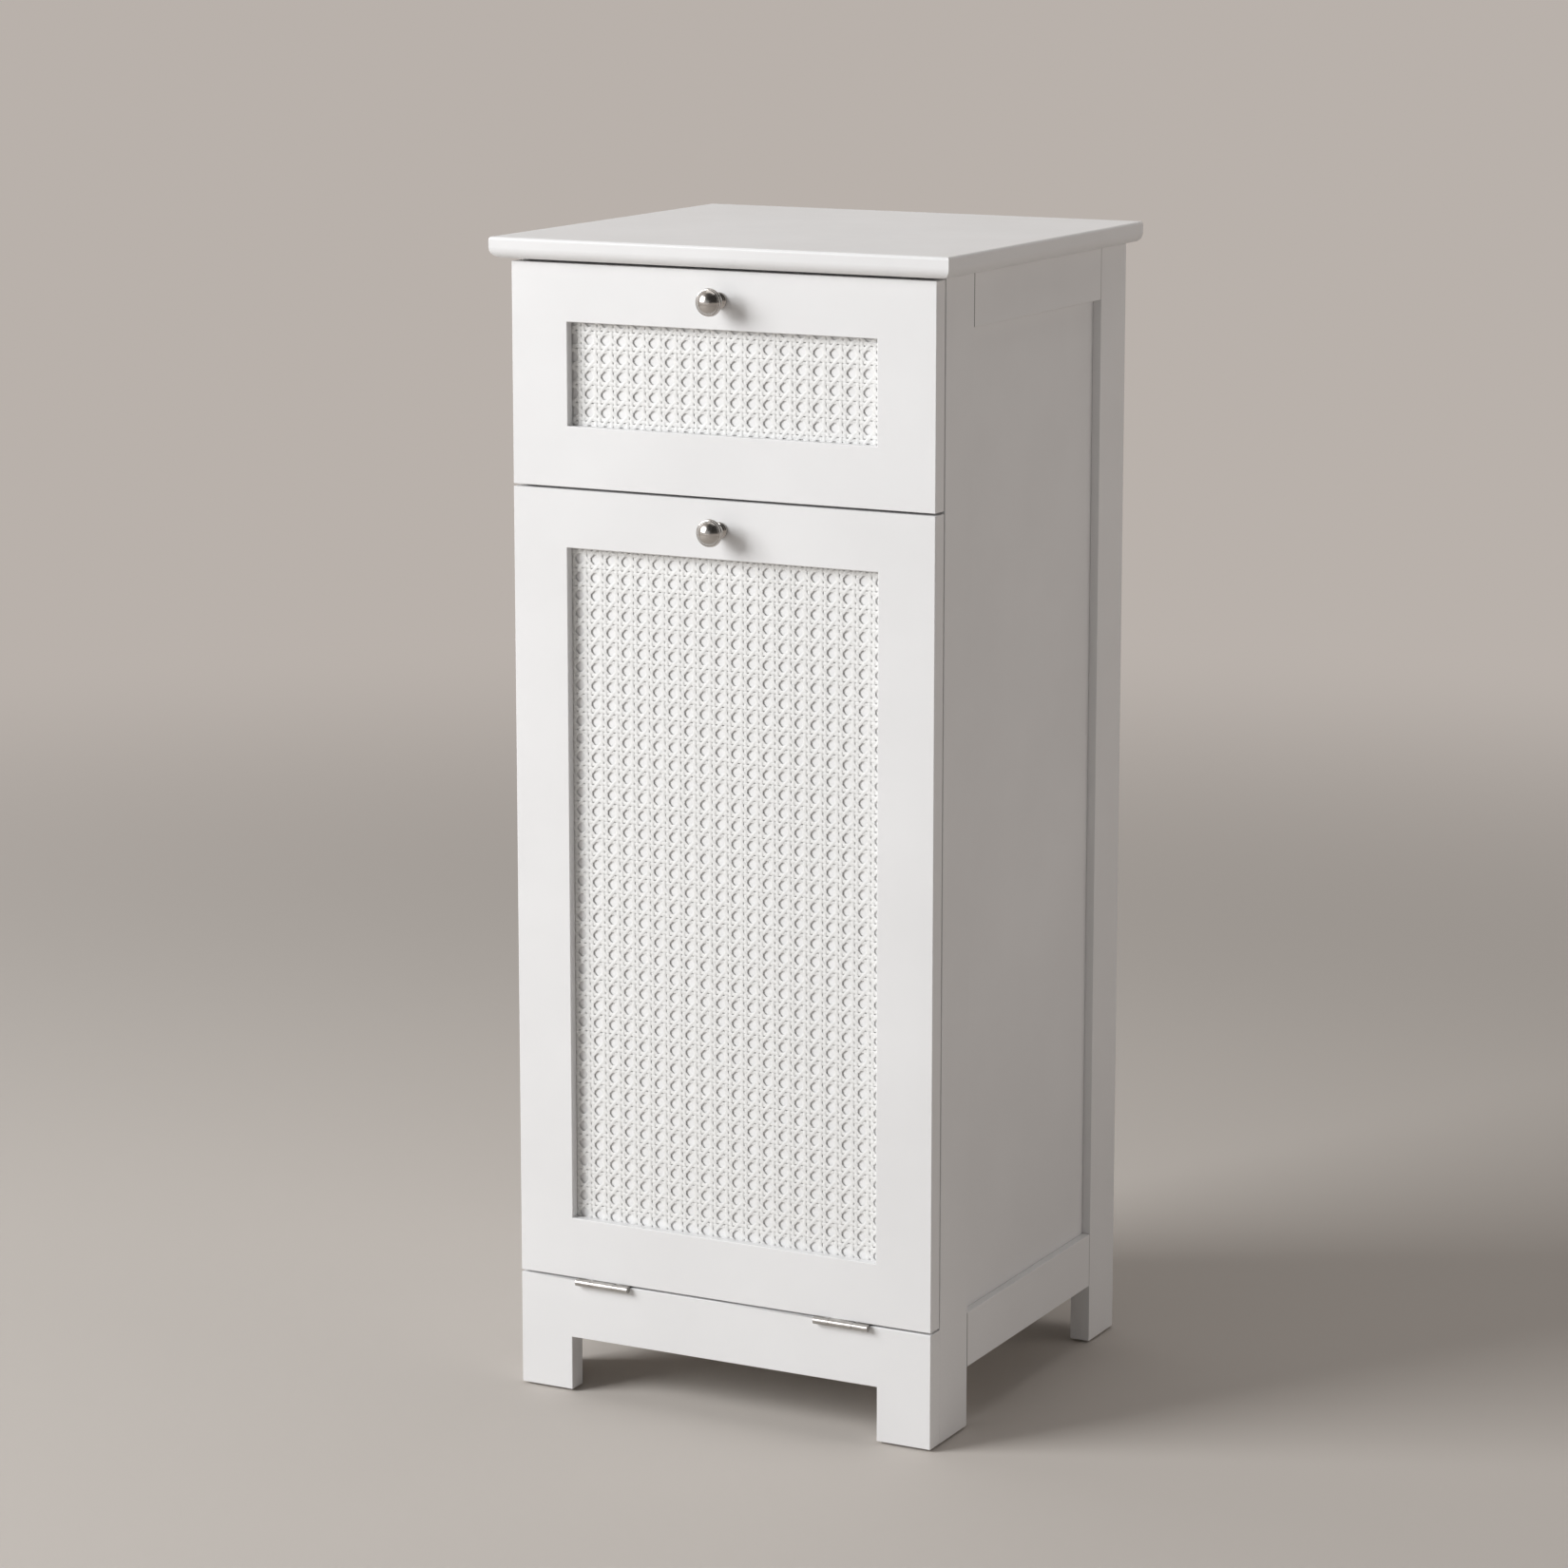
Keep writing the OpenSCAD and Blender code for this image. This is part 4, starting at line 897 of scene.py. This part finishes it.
# Catch. A magnet in a white plastic case, glued under the divider, and a zinc-plated steel
# plate, glued to the back of the door, that the magnet holds.
CATCH_DARK = (0.70, 0.70, 0.69)
CATCH_LIGHT = (0.78, 0.78, 0.77)
CATCH_EASE = 0.0008
ease("magnetic_catch", CATCH_EASE)
coat("magnetic_catch", moulded_plastic("catch_plastic", CATCH_DARK, CATCH_LIGHT, roughness=0.4))
coat("strike_plate", zinc)


# Floor and backdrop. A plain pale floor runs back into a plain pale backdrop of the same
# warm grey. They aren't part of the cabinet.
BACKDROP = (0.485, 0.440, 0.406, 1)
FLOOR_COLOUR = (0.57, 0.53, 0.49, 1)
FLOOR_REACH = 30
FLOOR_FADE_FROM = 1.3
FLOOR_FADE_TO = 3.8


def seen_or_mirrored(tree):
    """Is 1 for the camera's own rays and for those that metal and clear pieces throw back."""
    rays = tree.nodes.new("ShaderNodeLightPath")
    seen = rays.outputs["Is Camera Ray"]
    for other in ("Is Glossy Ray", "Is Transmission Ray"):
        either = working_node(tree, "ShaderNodeMath", "MAXIMUM")
        wire(tree, (seen, either.inputs[0]), (rays.outputs[other], either.inputs[1]))
        seen = either.outputs["Value"]
    return seen


def plain_floor():
    """Matt floor that turns into the backdrop's colour with its distance from the cabinet."""
    surface, tree, shader = finish("pale_floor", metallic=0, roughness=0.8)
    shader.inputs["Base Color"].default_value = FLOOR_COLOUR
    place = tree.nodes.new("ShaderNodeTexCoord")
    reach = working_node(tree, "ShaderNodeVectorMath", "LENGTH")
    fade = fit_range(tree, reach.outputs["Value"], FLOOR_FADE_FROM, FLOOR_FADE_TO, smooth=True)
    share = working_node(tree, "ShaderNodeMath", "MULTIPLY")
    far = tree.nodes.new("ShaderNodeEmission")
    far.inputs["Color"].default_value = BACKDROP
    blend = tree.nodes.new("ShaderNodeMixShader")
    wire(
        tree,
        (place.outputs["Object"], reach.inputs[0]),
        (fade, share.inputs[0]),
        (seen_or_mirrored(tree), share.inputs[1]),
        (share.outputs["Value"], blend.inputs["Fac"]),
        (shader.outputs["BSDF"], blend.inputs[1]),
        (far.outputs["Emission"], blend.inputs[2]),
        (blend.outputs["Shader"], tree.nodes["Material Output"].inputs["Surface"]),
    )
    return surface


floor_corners = [(x * FLOOR_REACH, y * FLOOR_REACH, 0) for x, y in ((-1, -1), (1, -1), (1, 1), (-1, 1))]
floor_mesh = bpy.data.meshes.new("floor")
floor_mesh.from_pydata(floor_corners, [], [(0, 1, 2, 3)])
floor_mesh.materials.append(plain_floor())
floor = bpy.data.objects.new("floor", floor_mesh)
bpy.context.scene.collection.objects.link(floor)


# Studio light. One broad soft box stands to the left of the front, a dim one before it, a low
# warm fill at the right rear and a small one above the back. The room is dim, and what the
# metal mirrors of it gets darker towards the right of the front.
COOL_WHITE = (0.985, 0.992, 1.0)
WARM_WHITE = (1.0, 0.975, 0.95)
WARM_FILL = (1.0, 0.925, 0.875)
LIT_POINT = Vector((0, -0.1, 0.55))
ROOM_COLOUR = (1.0, 0.965, 0.945, 1)
ROOM_STRENGTH = 0.17
ROOM_DARK = (0.035, 0.032, 0.030, 1)
DARK_END = (0.83, -0.5, 0.25)
DARK_FROM = -0.35
DARK_TO = 0.45


def soft_box(name, turn, lift, distance, width, height, power, colour):
    """Hangs a soft box turn degrees to the left of the front and lift degrees up."""
    turn = math.radians(turn)
    lift = math.radians(lift)
    heading = Vector((-math.sin(turn) * math.cos(lift), -math.cos(turn) * math.cos(lift),
                      math.sin(lift)))
    light = bpy.data.lights.new(name, "AREA")
    light.shape = "RECTANGLE"
    light.size = width
    light.size_y = height
    light.energy = power
    light.color = colour
    stand = bpy.data.objects.new(name, light)
    stand.location = LIT_POINT + distance * heading
    stand.rotation_euler = heading.to_track_quat("Z", "Y").to_euler()
    bpy.context.scene.collection.objects.link(stand)


def studio_room():
    """Room that lights the cabinet dimly, and shows the plain backdrop to the camera and in metal."""
    world = bpy.data.worlds.new("studio")
    world.use_nodes = True
    tree = world.node_tree
    ambient = tree.nodes["Background"]
    ambient.inputs["Color"].default_value = ROOM_COLOUR
    ambient.inputs["Strength"].default_value = ROOM_STRENGTH
    backdrop = tree.nodes.new("ShaderNodeBackground")
    backdrop.inputs["Strength"].default_value = 1
    heading = tree.nodes.new("ShaderNodeTexCoord")
    toward_dark = working_node(tree, "ShaderNodeVectorMath", "DOT_PRODUCT")
    toward_dark.inputs[1].default_value = DARK_END
    fall_off = fit_range(tree, toward_dark.outputs["Value"], DARK_FROM, DARK_TO, smooth=True)
    rays = tree.nodes.new("ShaderNodeLightPath")
    only_mirrored = working_node(tree, "ShaderNodeMath", "SUBTRACT")
    only_mirrored.inputs[0].default_value = 1
    darkness = working_node(tree, "ShaderNodeMath", "MULTIPLY")
    shade = tree.nodes.new("ShaderNodeMix")
    shade.data_type = "RGBA"
    shade.inputs["A"].default_value = BACKDROP
    shade.inputs["B"].default_value = ROOM_DARK
    blend = tree.nodes.new("ShaderNodeMixShader")
    wire(
        tree,
        (heading.outputs["Generated"], toward_dark.inputs[0]),
        (rays.outputs["Is Camera Ray"], only_mirrored.inputs[1]),
        (only_mirrored.outputs["Value"], darkness.inputs[0]),
        (fall_off, darkness.inputs[1]),
        (darkness.outputs["Value"], shade.inputs["Factor"]),
        (shade.outputs["Result"], backdrop.inputs["Color"]),
        (seen_or_mirrored(tree), blend.inputs["Fac"]),
        (ambient.outputs["Background"], blend.inputs[1]),
        (backdrop.outputs["Background"], blend.inputs[2]),
        (blend.outputs["Shader"], tree.nodes["World Output"].inputs["Surface"]),
    )
    return world


soft_box("key_box", turn=47, lift=25, distance=5.4, width=3.1, height=2.8, power=320, colour=COOL_WHITE)
soft_box("front_box", turn=10, lift=3, distance=4.4, width=4.0, height=3.4, power=15, colour=COOL_WHITE)
soft_box("fill_box", turn=-112, lift=12, distance=3.4, width=2.4, height=2, power=17.5, colour=WARM_FILL)
soft_box("top_box", turn=180, lift=75, distance=1.8, width=1.5, height=1.5, power=8, colour=WARM_WHITE)
bpy.context.scene.world = studio_room()


# Camera. It stands to the right of the front and a little above the cabinet, and looks down
# on it through a long lens, as in the photograph.
CAMERA_PLACE = (1.8392, -3.6162, 1.3419)
DEGREES_DOWN = 10.512
DEGREES_LEFT = 27.360
camera_data = bpy.data.cameras.new("camera")
camera_data.lens = 109.618
camera_data.sensor_width = 36
camera_data.shift_y = -0.05
camera_data.clip_end = 100
camera = bpy.data.objects.new("camera", camera_data)
camera.location = CAMERA_PLACE
camera.rotation_euler = (math.radians(90 - DEGREES_DOWN), 0, math.radians(DEGREES_LEFT))
bpy.context.scene.collection.objects.link(camera)
bpy.context.scene.camera = camera
bpy.context.scene.view_settings.view_transform = "Standard"
